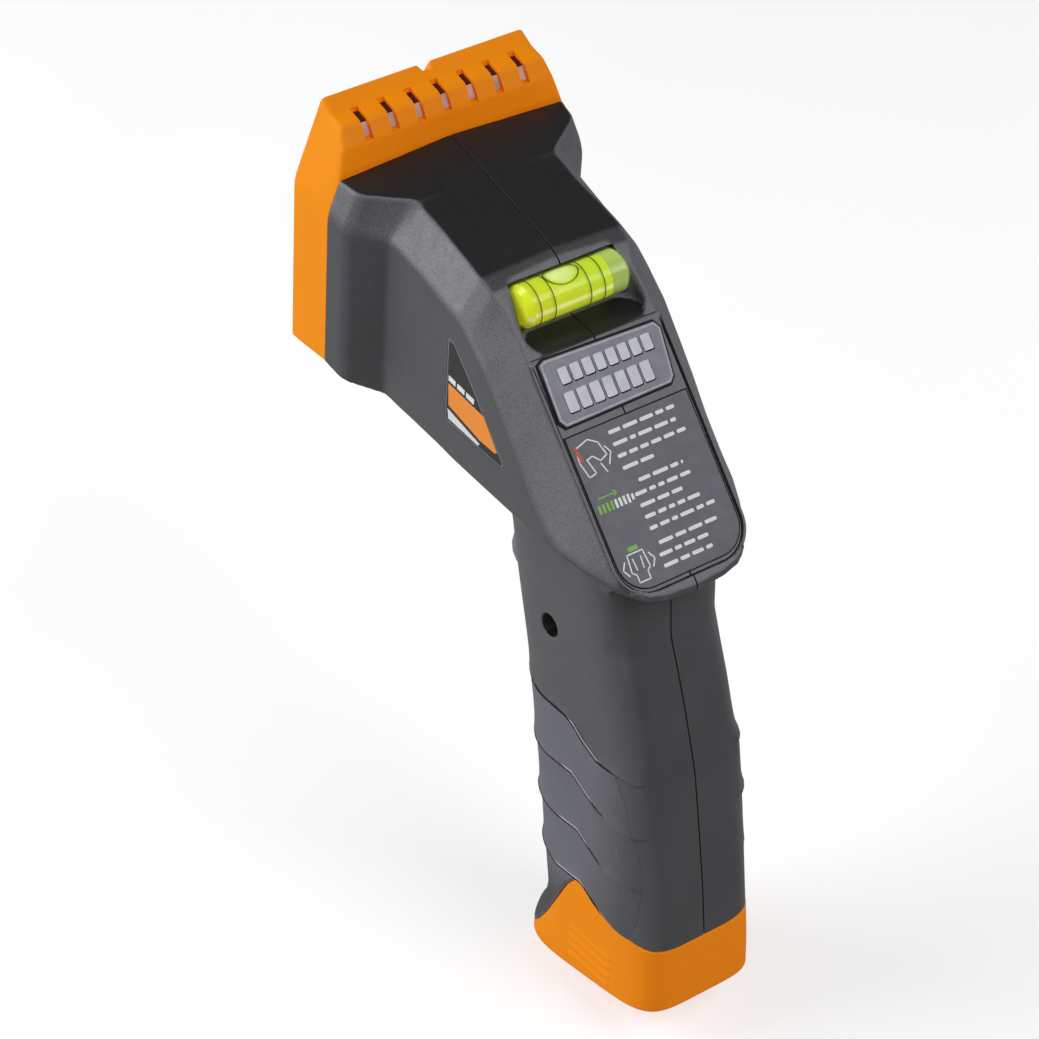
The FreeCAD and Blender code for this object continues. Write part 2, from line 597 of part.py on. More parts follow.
def bubble():
    s = vial_cyl(4.05, BUBBLE_X - 4.3, BUBBLE_X + 4.3)
    s = s.common(box(BUBBLE_X - 5, BUBBLE_X + 5, VIAL_Y - 2.45, VIAL_Y + 2.45,
                     VIAL_Z + 1.75, VIAL_Z + 6))
    # clip the four corners seen from above
    corners = []
    for sx in (-1, 1):
        for sy in (-1, 1):
            x0, x1 = BUBBLE_X + sx * 2.6, BUBBLE_X + sx * 5
            y0, y1 = VIAL_Y + sy * 3, VIAL_Y + sy * 0.6
            corners.append(prism_z([(x0, y0), (x1, y0), (x1, y1)], 0, 20))
    return s.cut(corners[0].multiFuse(corners[1:]))


def vial_line(x):
    ring = vial_cyl(VIAL_R + 0.09, x - 0.25, x + 0.25)
    return ring.cut(vial_cyl(VIAL_R + 0.01, x - 1, x + 1))


tube = vial_cyl(VIAL_R, VIAL_X0, VIAL_X1)
end_edges = [e for e in tube.Edges if e.Length > 20 and abs(e.BoundBox.XLength) < 0.01]
tube = tube.makeChamfer(0.9, end_edges)
save("vial_tube", tube.cut(vial_cyl(4.2, VIAL_X0 + 2.6, VIAL_X1 + 1)))
save("vial_plug", vial_cyl(4.15, PLUG_X, VIAL_X1 - 0.1))
fluid = vial_cyl(4.12, VIAL_X0 + 2.7, PLUG_X - 0.1)
fluid = fluid.cut(box(VIAL_X0 + 4.0, PLUG_X - 2.3, VIAL_Y - 2.6, VIAL_Y + 2.6,
                      VIAL_Z + 1.6, VIAL_Z + 6))
save("vial_fluid", fluid)
save("vial_bubble", bubble())
save("vial_lines", Part.makeCompound([vial_line(BUBBLE_X + dx) for dx in LINE_OFFSETS]))

# ---------------------------------------------------------------- sloped panel
# right halves, x, y in the panel frame
BADGE = mirrored([(12.4, -0.6), (14.4, -2.8), (15.2, -13.4), (12.8, -15.7)])
LABEL = mirrored([(16.4, -17.9), (16.6, -44.0), (14.2, -49.6), (9.0, -52.6)])
save("badge_plate", panel(prism_z(BADGE, PANEL_GAP, PANEL_GAP + BADGE_T)))
save("instruction_label", panel(prism_z(LABEL, PANEL_GAP, PANEL_GAP + LABEL_T)))
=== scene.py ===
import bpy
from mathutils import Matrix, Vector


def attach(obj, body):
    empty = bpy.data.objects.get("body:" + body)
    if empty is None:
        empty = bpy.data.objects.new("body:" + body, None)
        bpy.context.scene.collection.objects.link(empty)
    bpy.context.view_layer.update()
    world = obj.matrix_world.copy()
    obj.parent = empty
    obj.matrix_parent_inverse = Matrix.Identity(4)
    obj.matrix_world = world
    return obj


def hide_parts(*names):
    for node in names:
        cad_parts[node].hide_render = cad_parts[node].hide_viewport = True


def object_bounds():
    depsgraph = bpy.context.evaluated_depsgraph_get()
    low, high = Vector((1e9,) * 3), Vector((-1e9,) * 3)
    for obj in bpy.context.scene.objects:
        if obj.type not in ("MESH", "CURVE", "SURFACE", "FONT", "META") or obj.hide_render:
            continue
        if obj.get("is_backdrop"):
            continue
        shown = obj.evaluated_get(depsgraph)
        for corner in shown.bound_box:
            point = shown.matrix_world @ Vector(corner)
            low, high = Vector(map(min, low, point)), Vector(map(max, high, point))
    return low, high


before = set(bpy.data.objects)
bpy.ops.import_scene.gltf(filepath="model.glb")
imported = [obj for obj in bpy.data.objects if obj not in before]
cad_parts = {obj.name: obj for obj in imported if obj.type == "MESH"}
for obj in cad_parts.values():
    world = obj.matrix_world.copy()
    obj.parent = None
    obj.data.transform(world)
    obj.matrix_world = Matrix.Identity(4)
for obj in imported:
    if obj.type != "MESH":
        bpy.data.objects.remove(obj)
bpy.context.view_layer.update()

import math

import bmesh
import bpy
import numpy as np
from mathutils import Matrix, Vector

MM = 0.001
SEAM_GAP = 0.18             # each half stops this far from x = 0
VIAL_Y, VIAL_Z = -57.7, 4.5  # axis of the vial, which runs along x
SIDE_LABEL_X = 25.0         # flank plane that carries the side label

# Rear panel: an origin and the direction cosines of its slope.
PANEL_Y, PANEL_Z = -68.6, -2.5
PANEL_COS, PANEL_SIN = 0.7035, 0.7107

scene = bpy.context.scene
MATERIALS = {}


# ------------------------------------------------------------------ shader helpers

def tint(colour, factor, lift=0.0):
    return tuple(min(1.0, v * factor + lift) for v in colour)


class Shader:
    """A new material with one Principled surface, and short calls that add nodes to it."""

    def __init__(self, name):
        material = bpy.data.materials.new(name)
        MATERIALS[name] = material
        material.use_nodes = True
        self.tree = material.node_tree
        self.tree.nodes.clear()
        output = self.node("OutputMaterial")
        self.surface = self.node("BsdfPrincipled")
        self.feed(output.inputs["Surface"], self.surface.outputs["BSDF"])
        self.coords = self.node("TexCoord").outputs["Object"]

    def feed(self, socket, value):
        """Link a socket, or set a number or an RGB colour."""
        if isinstance(value, bpy.types.NodeSocket):
            self.tree.links.new(value, socket)
        elif isinstance(value, tuple):
            socket.default_value = (*value, 1.0)
        else:
            socket.default_value = value

    def feed_all(self, node, inputs):
        for name, value in inputs.items():
            self.feed(node.inputs[name.replace("_", " ")], value)

    def node(self, kind, **inputs):
        node = self.tree.nodes.new("ShaderNode" + kind)
        self.feed_all(node, inputs)
        return node

    def set(self, **inputs):
        self.feed_all(self.surface, inputs)

    def xyz(self, vector):
        return self.node("SeparateXYZ", Vector=vector).outputs

    def noise(self, scale, detail=3.0, roughness=0.5, vector=None):
        return self.node("TexNoise", Scale=scale, Detail=detail, Roughness=roughness,
                         Vector=vector or self.coords).outputs["Fac"]

    def ramp(self, value, span, to=(0.0, 1.0)):
        """Map the span linearly to another range, clamped at both ends."""
        return self.node("MapRange", From_Min=span[0], From_Max=span[1],
                         To_Min=to[0], To_Max=to[1], Value=value).outputs["Result"]

    def math(self, operation, first, second=None, clamp=False):
        node = self.node("Math")
        node.operation = operation
        node.use_clamp = clamp
        self.feed(node.inputs[0], first)
        if second is not None:
            self.feed(node.inputs[1], second)
        return node.outputs[0]

    def product(self, result, *factors):
        for factor in factors:
            result = self.math("MULTIPLY", result, factor)
        return result

    def mix(self, factor, base, over):
        node = self.node("Mix")
        node.data_type = "RGBA"
        node.clamp_factor = True
        for index, value in ((0, factor), (6, base), (7, over)):
            self.feed(node.inputs[index], value)
        return node.outputs[2]

    def bump(self, *layers):
        """Stacked bumps, each (height, distance in metres, strength)."""
        normal = None
        for height, distance, strength in layers:
            node = self.node("Bump", Distance=distance, Strength=strength, Height=height)
            if normal is not None:
                self.feed(node.inputs["Normal"], normal)
            normal = node.outputs["Normal"]
        self.set(Normal=normal)


# ------------------------------------------------------------------ materials

def moulded(name, colour, roughness, drift=0.08, grain=2600.0, depth=0.00004, strength=0.35,
            specular=0.5, metallic=0.0, edge=0.25):
    """Moulded plastic or rubber: spark-eroded grain, slow colour drift, rubbed edges."""
    s = Shader(name)
    fine = s.noise(scale=grain, detail=2.0, roughness=0.6)
    slow = s.noise(scale=55.0, detail=4.0, roughness=0.6)
    mid = s.noise(scale=420.0)
    pale = tint(colour, 1 + drift)
    shade = s.mix(s.ramp(slow, span=(0.3, 0.7)), tint(colour, 1 - drift), pale)
    shade = s.mix(s.ramp(fine, span=(0.35, 0.75), to=(0.0, 2 * drift)), shade, pale)
    pointiness = s.node("NewGeometry").outputs["Pointiness"]
    wear = s.product(s.ramp(pointiness, span=(0.52, 0.6), to=(0.0, edge)),
                     s.ramp(mid, span=(0.35, 0.65), to=(0.4, 1.0)))
    shade = s.mix(wear, shade, tint(colour, 1.7, lift=0.01))
    smudge = s.ramp(mid, span=(0.3, 0.7), to=(roughness - 0.06, roughness + 0.06))
    speckle = s.ramp(fine, span=(0.3, 0.7), to=(-0.05, 0.05))
    s.set(Base_Color=shade, Roughness=s.math("ADD", smudge, speckle, clamp=True),
          Specular_IOR_Level=specular, Metallic=metallic)
    s.bump((fine, depth, strength), (mid, depth * 1.6, strength * 0.35))
    return s


def shell_plastic():
    """Dark grey: satin grain on top, coarser sparkle grain on the chamfered band and flanks, with
    painted shade on upward faces and under the rear lip, painted light on the band and lower
    flanks, and painted sparkle and pit shade in the coarse grain.
    """
    s = Shader("shell_plastic")
    geometry = s.node("NewGeometry").outputs
    normal = s.xyz(geometry["Normal"])
    place = s.xyz(s.coords)

    # where the surface looks up, sideways, or lies on the chamfered band
    up = s.ramp(normal["Z"], span=(0.84, 0.95))
    aside = s.ramp(s.math("ABSOLUTE", normal["X"]), span=(0.25, 0.5))
    band = s.product(s.ramp(normal["Z"], span=(0.12, 0.42)),
                     s.ramp(place["Z"], span=(-0.075, -0.045)),
                     s.math("SUBTRACT", 1.0, up),
                     s.ramp(normal["Y"], span=(-0.93, -0.82)))
    # coarse grain: strong on the band, weaker on the sides, fading down the handle
    flank = s.math("ADD", s.product(band, 0.8), s.product(aside, 0.25))
    fade = s.ramp(place["Z"], span=(-0.085, -0.03), to=(0.15, 1.0))
    flank = s.math("MULTIPLY", flank, fade, clamp=True)

    fine = s.noise(scale=2800.0, detail=2.0, roughness=0.6)
    coarse = s.noise(scale=2900.0, detail=2.0, roughness=0.6)
    mid = s.noise(scale=380.0)
    slow = s.noise(scale=45.0, detail=4.0, roughness=0.6)

    shade = s.mix(s.ramp(slow, span=(0.3, 0.7)), (0.056, 0.057, 0.061), (0.066, 0.067, 0.072))
    # painted light: side faces lower down are given a lighter tone
    low_flank_light = s.product(s.ramp(place["Z"], span=(-0.025, -0.06)), aside)
    shade = s.mix(low_flank_light, shade, (0.083, 0.084, 0.091))
    # painted light: the chamfered band faces the key light, so it gets a lighter tone, lighter
    # still low down
    band_painted_light = s.mix(s.ramp(place["Z"], span=(0.010, -0.022)),
                      (0.113, 0.112, 0.126), (0.145, 0.145, 0.160))
    shade = s.mix(band, shade, band_painted_light)
    # painted shadow: downward faces at the rear end, above the handle, where the lip shades them,
    # go nearly black
    under = s.product(s.ramp(normal["Z"], span=(-0.10, -0.50)),
                      s.ramp(place["Y"], span=(-0.096, -0.106)),
                      s.ramp(place["Z"], span=(-0.070, -0.062)), 0.8)
    shade = s.mix(under, shade, (0.018, 0.018, 0.020))
    # painted shade: faces that look up, turned away from the key light, go nearly black
    shade = s.mix(up, shade, (0.0125, 0.0125, 0.0135))
    # coarse grain: pale peaks carry a painted sparkle highlight and dark pits painted shade, with
    # their weights
    grain_sparkle = s.product(s.ramp(coarse, span=(0.44, 0.62)), flank, 0.42)
    shade = s.mix(grain_sparkle, shade, (0.19, 0.192, 0.205))
    grain_pit_shade = s.product(s.ramp(coarse, span=(0.48, 0.36)), flank, 0.38)
    shade = s.mix(grain_pit_shade, shade, (0.045, 0.045, 0.05))
    wear = s.product(s.ramp(geometry["Pointiness"], span=(0.54, 0.62), to=(0.0, 0.22)),
                     s.ramp(mid, span=(0.3, 0.6), to=(0.4, 1.0)))
    shade = s.mix(wear, shade, (0.14, 0.143, 0.15))

    rough = s.ramp(mid, span=(0.3, 0.7), to=(0.38, 0.48))
    rough = s.math("ADD", rough, s.product(flank, 0.06), clamp=True)  # duller on coarse grain
    s.set(Base_Color=shade, Roughness=rough, Specular_IOR_Level=0.46)
    s.bump((fine, 0.00003, 0.28), (coarse, 0.00011, s.product(flank, 0.75)))


def orange_plastic():
    """Saturated orange, with a painted glow that keeps it orange in the shade."""
    s = moulded("orange_plastic", (0.56, 0.235, 0.002), roughness=0.5, drift=0.03, grain=2200.0,
                depth=0.000025, strength=0.22, specular=0.10, edge=0.22)
    # painted glow: a faint orange emission lifts the shaded parts
    s.set(Emission_Color=(0.95, 0.10, 0.004), Emission_Strength=0.31)


def grip_rubber():
    """Soft grip: bluish grey, with painted shade darkening it to grey towards the back, and
    darker at the foot.
    """
    s = Shader("grip_rubber")
    place = s.xyz(s.coords)
    pointiness = s.node("NewGeometry").outputs["Pointiness"]
    fine = s.noise(scale=1700.0, detail=2.0, roughness=0.6)
    mid = s.noise(scale=420.0)
    slow = s.noise(scale=60.0, detail=4.0, roughness=0.6)
    shade = s.mix(s.ramp(slow, span=(0.3, 0.7)), (0.124, 0.125, 0.148), (0.142, 0.143, 0.169))
    # painted shade: darker towards the rear edge, which turns away from the light
    shade = s.mix(s.ramp(place["Y"], span=(-0.102, -0.114)), shade, (0.078, 0.079, 0.086))
    shade = s.mix(s.ramp(place["Z"], span=(-0.137, -0.150)), shade, (0.050, 0.050, 0.058))
    shade = s.mix(s.ramp(fine, span=(0.4, 0.75), to=(0.0, 0.25)), shade, (0.15, 0.15, 0.17))
    wear = s.ramp(pointiness, span=(0.52, 0.60), to=(0.0, 0.35))
    shade = s.mix(wear, shade, (0.17, 0.17, 0.20))
    # painted shadow: concave creases under the scale edges go nearly black
    crease_shadow = s.ramp(pointiness, span=(0.47, 0.40), to=(0.0, 0.75))
    shade = s.mix(crease_shadow, shade, (0.02, 0.02, 0.024))
    s.set(Base_Color=shade, Roughness=s.ramp(mid, span=(0.3, 0.7), to=(0.55, 0.68)),
          Specular_IOR_Level=0.35)
    s.bump((fine, 0.00004, 0.4), (mid, 0.00005, 0.15))


def light_pipe():
    """Translucent light guide: pinkish, with painted shade making its upward faces dark maroon.
    """
    s = Shader("light_pipe")
    normal = s.xyz(s.node("NewGeometry").outputs["True Normal"])
    slow = s.noise(scale=300.0)
    shade = s.mix(s.ramp(slow, span=(0.3, 0.7)), (0.60, 0.32, 0.28), (0.78, 0.46, 0.40))
    # painted shade: upward faces, seen down the open slots, go dark maroon
    shade = s.mix(s.ramp(normal["Z"], span=(0.5, 0.8)), shade, (0.055, 0.008, 0.006))
    s.set(Base_Color=shade, Roughness=s.ramp(slow, span=(0.3, 0.7), to=(0.16, 0.3)),
          Transmission_Weight=0.12, IOR=1.5)
    s.bump((slow, 0.00005, 0.15))


def clear(name, colour, roughness, transmission, ior, alpha=1.0):
    """Clear plastic with faint streaks."""
    s = Shader(name)
    slow = s.noise(scale=160.0)
    fine = s.noise(scale=1800.0, detail=2.0)
    shade = s.mix(s.ramp(slow, span=(0.35, 0.65)), tint(colour, 0.85), colour)
    rough = s.ramp(fine, span=(0.3, 0.7), to=(roughness - 0.03, roughness + 0.04))
    s.set(Base_Color=shade, Roughness=rough, Transmission_Weight=transmission, IOR=ior,
          Alpha=alpha)
    s.bump((slow, 0.00005, 0.12))


def metal(name, colour, roughness):
    """Metal brushed along z: the fine noise is stretched that way."""
    s = Shader(name)
    stretch = s.node("Mapping", Vector=s.coords)
    stretch.inputs["Scale"].default_value = (1, 1, 0.08)
    fine = s.noise(scale=3200.0, detail=2.0, roughness=0.6, vector=stretch.outputs["Vector"])
    slow = s.noise(scale=260.0, roughness=0.6)
    rough = s.ramp(fine, span=(0.3, 0.7), to=(roughness - 0.08, roughness + 0.1))
    s.set(Base_Color=s.mix(s.ramp(slow, span=(0.3, 0.7)), tint(colour, 0.82), colour),
          Roughness=rough, Metallic=1.0)
    s.bump((fine, 0.00001, 0.25))


def circuit_board():
    """Solder mask over copper traces and vias."""
    s = Shader("circuit_board")
    mask = (0.012, 0.085, 0.035)
    traces = s.node("TexBrick", Scale=260.0, Mortar_Size=0.06, Color1=mask,
                    Color2=tint(mask, 0.75), Mortar=tint(mask, 2.2, lift=0.01),
                    Vector=s.coords).outputs
    dots = s.node("TexVoronoi", Scale=420.0, Vector=s.coords).outputs["Distance"]
    via = s.ramp(dots, span=(0.16, 0.12))
    s.set(Base_Color=s.mix(s.product(via, 0.8), traces["Color"], (0.55, 0.38, 0.12)),
          Roughness=0.35)
    s.bump((traces["Fac"], 0.00002, 0.4), (via, 0.00003, 0.4))


def vial_liquid():
    """Fluorescent fluid: yellow low on the left and green to the right, with painted shade
    greener towards the top, a painted highlight streak, painted dark edges and a faint painted
    glow.
    """
    s = Shader("vial_liquid")
    place = s.xyz(s.coords)
    slow = s.noise(scale=260.0)
    # greener to the right, and greener towards the top as painted shade
    greener = s.math("ADD", s.ramp(place["X"], span=(-0.012, 0.012), to=(0.0, 0.45)),
                     s.ramp(place["Z"], span=(0.0, 0.010), to=(0.0, 0.55)), clamp=True)
    shade = s.mix(greener, (0.74, 0.68, 0.015), (0.50, 0.72, 0.03))
    # painted light from the normal across a view from above and behind: painted shade on faces
    # turned up and back, a pale painted highlight streak and painted dark edges
    normal = s.xyz(s.node("NewGeometry").outputs["Normal"])
    turn = s.math("ADD", s.product(normal["Z"], 0.755), s.product(normal["Y"], 0.656))
    shade = s.mix(s.ramp(turn, span=(0.55, 0.85), to=(0.0, 0.35)), shade, (0.36, 0.50, 0.015))
    off_streak = s.math("ABSOLUTE", s.math("ADD", turn, 0.60))
    highlight_streak = s.ramp(off_streak, span=(0.14, 0.02), to=(0.0, 0.8))
    shade = s.mix(highlight_streak, shade, (0.95, 0.98, 0.42))
    # painted shade: dark edges where the surface turns away
    edge = s.ramp(s.math("ABSOLUTE", turn), span=(0.93, 0.99), to=(0.0, 0.9))
    shade = s.mix(edge, shade, (0.13, 0.19, 0.004))
    shade = s.mix(s.ramp(slow, span=(0.35, 0.7), to=(0.0, 0.3)), shade, (0.42, 0.56, 0.01))
    # painted glow: the colour, painted light included, is also emitted
    s.set(Base_Color=shade, Emission_Color=shade, Emission_Strength=0.3, Roughness=0.12,
          Transmission_Weight=0.1, IOR=1.36)
    s.bump((slow, 0.00006, 0.15))


def bubble_air():
    """Air bubble: pale, with painted shade in a dark green rim where the surface bends sharply,
    and a faint painted glow.
    """
    s = Shader("bubble_air")
    slow = s.noise(scale=300.0)
    shade = s.mix(s.ramp(slow, span=(0.3, 0.7)), (0.66, 0.84, 0.20), (0.74, 0.90, 0.30))
    pointiness = s.node("NewGeometry").outputs["Pointiness"]
    # painted shade: dark green where the bubble's surface bends sharply
    shade = s.mix(s.ramp(pointiness, span=(0.51, 0.56)), shade, (0.09, 0.17, 0.008))
    # painted glow: faint emission of the bubble's colour
    s.set(Base_Color=shade, Emission_Color=shade, Emission_Strength=0.15, Roughness=0.08)
    s.bump((slow, 0.00004, 0.1))


def studio_floor():
    """Pale floor that glows only to the camera, so it lights nothing."""
    s = Shader("studio_floor")
    slow = s.noise(scale=3.0)
    fine = s.noise(scale=220.0)
    drift = s.ramp(slow, span=(0.3, 0.7))
    glow_drift = s.ramp(slow, span=(0.3, 0.7))
    camera_ray = s.node("LightPath").outputs["Is Camera Ray"]
    s.set(Base_Color=s.mix(drift, (0.46, 0.46, 0.46), (0.48, 0.48, 0.48)),
          Emission_Color=s.mix(glow_drift, (0.97, 0.97, 0.97), (1.0, 1.0, 1.0)),
          Emission_Strength=s.product(camera_ray, 0.60), Roughness=0.9)
    s.bump((fine, 0.0002, 0.1))


def make_materials():
    # grain settings shared by printed inks and by smooth plates and stickers
    ink = dict(roughness=0.5, drift=0.05, grain=5000.0, depth=0.00001, strength=0.3)
    smooth = dict(grain=3000.0, depth=0.00001, strength=0.2)
    soft = dict(grain=2000.0, depth=0.00002, strength=0.2)

    shell_plastic()
    orange_plastic()
    grip_rubber()
    moulded("trigger_plastic", (0.17, 0.16, 0.21), roughness=0.5, drift=0.06, grain=2000.0,
            depth=0.00003, strength=0.3, specular=0.4)
    moulded("plate_plastic", (0.03, 0.03, 0.033), roughness=0.42, drift=0.1, grain=1200.0,
            depth=0.00005, strength=0.4)
    moulded("badge_metallic", (0.175, 0.175, 0.21), roughness=0.46, drift=0.05, grain=3000.0,
            depth=0.00002, strength=0.25, specular=0.45, metallic=0.15, edge=0.0)
    moulded("badge_block", (0.42, 0.42, 0.48), roughness=0.40, drift=0.04, metallic=0.2,
            edge=0.0, **smooth)
    moulded("badge_rim", (0.23, 0.23, 0.27), roughness=0.38, drift=0.05, metallic=0.3,
            edge=0.0, **smooth)
    moulded("label_film", (0.122, 0.120, 0.142), roughness=0.5, drift=0.06, grain=3400.0,
            depth=0.000015, strength=0.25, specular=0.4, edge=0.0)
    moulded("lip_sheen", (0.36, 0.36, 0.39), roughness=0.4, drift=0.05, **soft)
    moulded("groove_shadow", (0.006, 0.006, 0.007), roughness=0.7, drift=0.1, specular=0.2,
            **soft)
    moulded("ink_white", (0.74, 0.74, 0.75), **ink)
    moulded("ink_green", (0.16, 0.42, 0.03), **ink)
    moulded("ink_red", (0.50, 0.05, 0.02), **ink)
    moulded("ink_black", (0.010, 0.012, 0.010), **ink)
    moulded("label_orange", (0.80, 0.24, 0.02), roughness=0.45, drift=0.04, **smooth)
    moulded("label_white", (0.66, 0.66, 0.66), roughness=0.45, drift=0.04, **smooth)
    moulded("label_black", (0.010, 0.010, 0.011), roughness=0.4, drift=0.08, **smooth)
    light_pipe()
    clear("vial_clear", (0.93, 1.0, 0.80), roughness=0.03, transmission=0.96, ior=1.25,
          alpha=0.2)
    clear("vial_plug", (0.72, 0.95, 0.22), roughness=0.16, transmission=0.25, ior=1.49)
    metal("steel", (0.62, 0.62, 0.64), roughness=0.3)
    metal("nickel", (0.66, 0.62, 0.56), roughness=0.25)
    metal("copper", (0.80, 0.42, 0.22), roughness=0.3)
    circuit_board()
    moulded("connector_plastic", (0.62, 0.60, 0.52), roughness=0.45, grain=1500.0)
    moulded("chip_plastic", (0.015, 0.015, 0.017), roughness=0.45, drift=0.1, grain=2200.0)
    moulded("cable_film", (0.42, 0.20, 0.045), roughness=0.3, drift=0.1, grain=900.0)
    moulded("foam", (0.05, 0.05, 0.055), roughness=0.9, drift=0.2, grain=900.0, depth=0.0003,
            strength=0.9)
    moulded("battery_wrap", (0.055, 0.058, 0.07), roughness=0.3, drift=0.1, grain=700.0,
            depth=0.00002, strength=0.2)
    moulded("red_insulation", (0.45, 0.02, 0.015), roughness=0.4, drift=0.06, grain=900.0)
    moulded("black_insulation", (0.012, 0.012, 0.012), roughness=0.4, drift=0.1, grain=900.0)
    clear("led_lens", (0.92, 0.30, 0.22), roughness=0.15, transmission=0.5, ior=1.5)
    vial_liquid()
    bubble_air()
    # painted shade for the bubble's rim line
    moulded("bubble_rim_shade", (0.07, 0.13, 0.006), roughness=0.3, drift=0.2, grain=900.0,
            depth=0.00002, strength=0.2)


make_materials()


# ------------------------------------------------------------------ objects

def assign(obj, material):
    obj.data.materials.clear()
    obj.data.materials.append(MATERIALS[material])


def add_to_scene(name, data):
    obj = bpy.data.objects.new(name, data)
    scene.collection.objects.link(obj)
    return obj


def add_piece(mesh, material, body="housing", replaces=()):
    obj = add_to_scene(mesh.name, mesh)
    assign(obj, material)
    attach(obj, body)
    for part in replaces:
        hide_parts(part)


def shade_smooth(mesh):
    mesh.polygons.foreach_set("use_smooth", np.ones(len(mesh.polygons), bool))


def finish_mesh(name, bm, smooth=True):
    mesh = bpy.data.meshes.new(name)
    bm.to_mesh(mesh)
    bm.free()
    if smooth:
        shade_smooth(mesh)
    return mesh


# ------------------------------------------------------------------ distance-field tools

def smooth_curves(rows, blur):
    """One function per column after the first, looked up against the first column.

    The curves are blurred, so creases come out softly rounded, and run on straight at the ends.
    """
    stations, *columns = np.array(rows, float).T
    order = np.argsort(stations)
    return [smooth_curve(stations[order], column[order], blur) for column in columns]


def smooth_curve(stations, values, blur):
    grid = np.arange(stations[0] - 8, stations[-1] + 8, 0.1)
    first_slope = (values[1] - values[0]) / (stations[1] - stations[0])
    last_slope = (values[-1] - values[-2]) / (stations[-1] - stations[-2])
    v = np.interp(grid, stations, values)
    v = np.where(grid < stations[0], values[0] + (grid - stations[0]) * first_slope, v)
    v = np.where(grid > stations[-1], values[-1] + (grid - stations[-1]) * last_slope, v)
    reach = int(blur * 30)
    weights = np.exp(-0.5 * (np.arange(-reach, reach + 1) * 0.1 / blur) ** 2)
    weights /= weights.sum()
    before = v[0] + np.arange(-reach, 0) * (v[1] - v[0])
    after = v[-1] + np.arange(1, reach + 1) * (v[-1] - v[-2])
    v = np.convolve(np.concatenate([before, v, after]), weights, "valid")
    return lambda place: np.interp(place, grid, v)


def smax(a, b, k):
    """Intersection of two fields, blended over k."""
    h = np.clip(0.5 + 0.5 * (a - b) / k, 0, 1)
    return b + (a - b) * h + k * h * (1 - h)


def smin(a, b, k):
    """Union of two fields, blended over k."""
    return -smax(-a, -b, k)


def rmax(a, b, r):
    """Intersection of two fields with a rounded edge of radius r."""
    return np.minimum(-r, np.maximum(a, b)) + np.hypot(np.maximum(a + r, 0), np.maximum(b + r, 0))


def smoothstep(t):
    return t * t * (3 - 2 * t)


def polygon(u, v, outline):
    """Signed distance to a closed polygon."""
    distance = np.full(u.shape, 1e9)
    inside = np.zeros(u.shape, bool)
    outline = np.array(outline, float)
    for (ax, ay), (bx, by) in zip(outline, np.roll(outline, -1, axis=0)):
        ex, ey = bx - ax, by - ay
        wx, wy = u - ax, v - ay
        t = np.clip((wx * ex + wy * ey) / (ex * ex + ey * ey), 0, 1)
        distance = np.minimum(distance, (wx - ex * t) ** 2 + (wy - ey * t) ** 2)
        crosses = ((ay <= v) & (by > v)) | ((by <= v) & (ay > v))
        if ey != 0:
            inside ^= crosses & (u < ax + (v - ay) / ey * ex)
    distance = np.sqrt(distance)
    return np.where(inside, -distance, distance)


def chamfer(x, z, x0, z0, x1, z1):
    """Distance outside the line from (x0, z0) to (x1, z1), running outwards and down."""
    run, rise = x1 - x0, z1 - z0
    length = np.hypot(run, rise)
    return (x - x0) * (-rise / length) + (z - z0) * (run / length)


def sample_band(field, low, high, step):
    """Field values on a regular grid, only near the surface; NaN elsewhere."""
    block = 4
    blocks = np.ceil((high - low) / (step * block)).astype(int) + 1
    size = blocks * block + 1
    centres = [low[i] + step * block * (np.arange(blocks[i]) + 0.5) for i in range(3)]
    centres = np.stack(np.meshgrid(*centres, indexing="ij"), -1).reshape(-1, 3)
    near = (np.abs(field(*centres.T)) < step * block * 1.5).reshape(blocks)
    for axis in range(3):
        near = np.repeat(near, block, axis)
    mask = np.zeros(size, bool)
    for corner in np.ndindex(2, 2, 2):
        mask[tuple(slice(c, size[axis] - 1 + c) for axis, c in enumerate(corner))] |= near
    values = np.full(size, np.nan)
    values[mask] = field(*(low + step * np.argwhere(mask)).T)
    return values


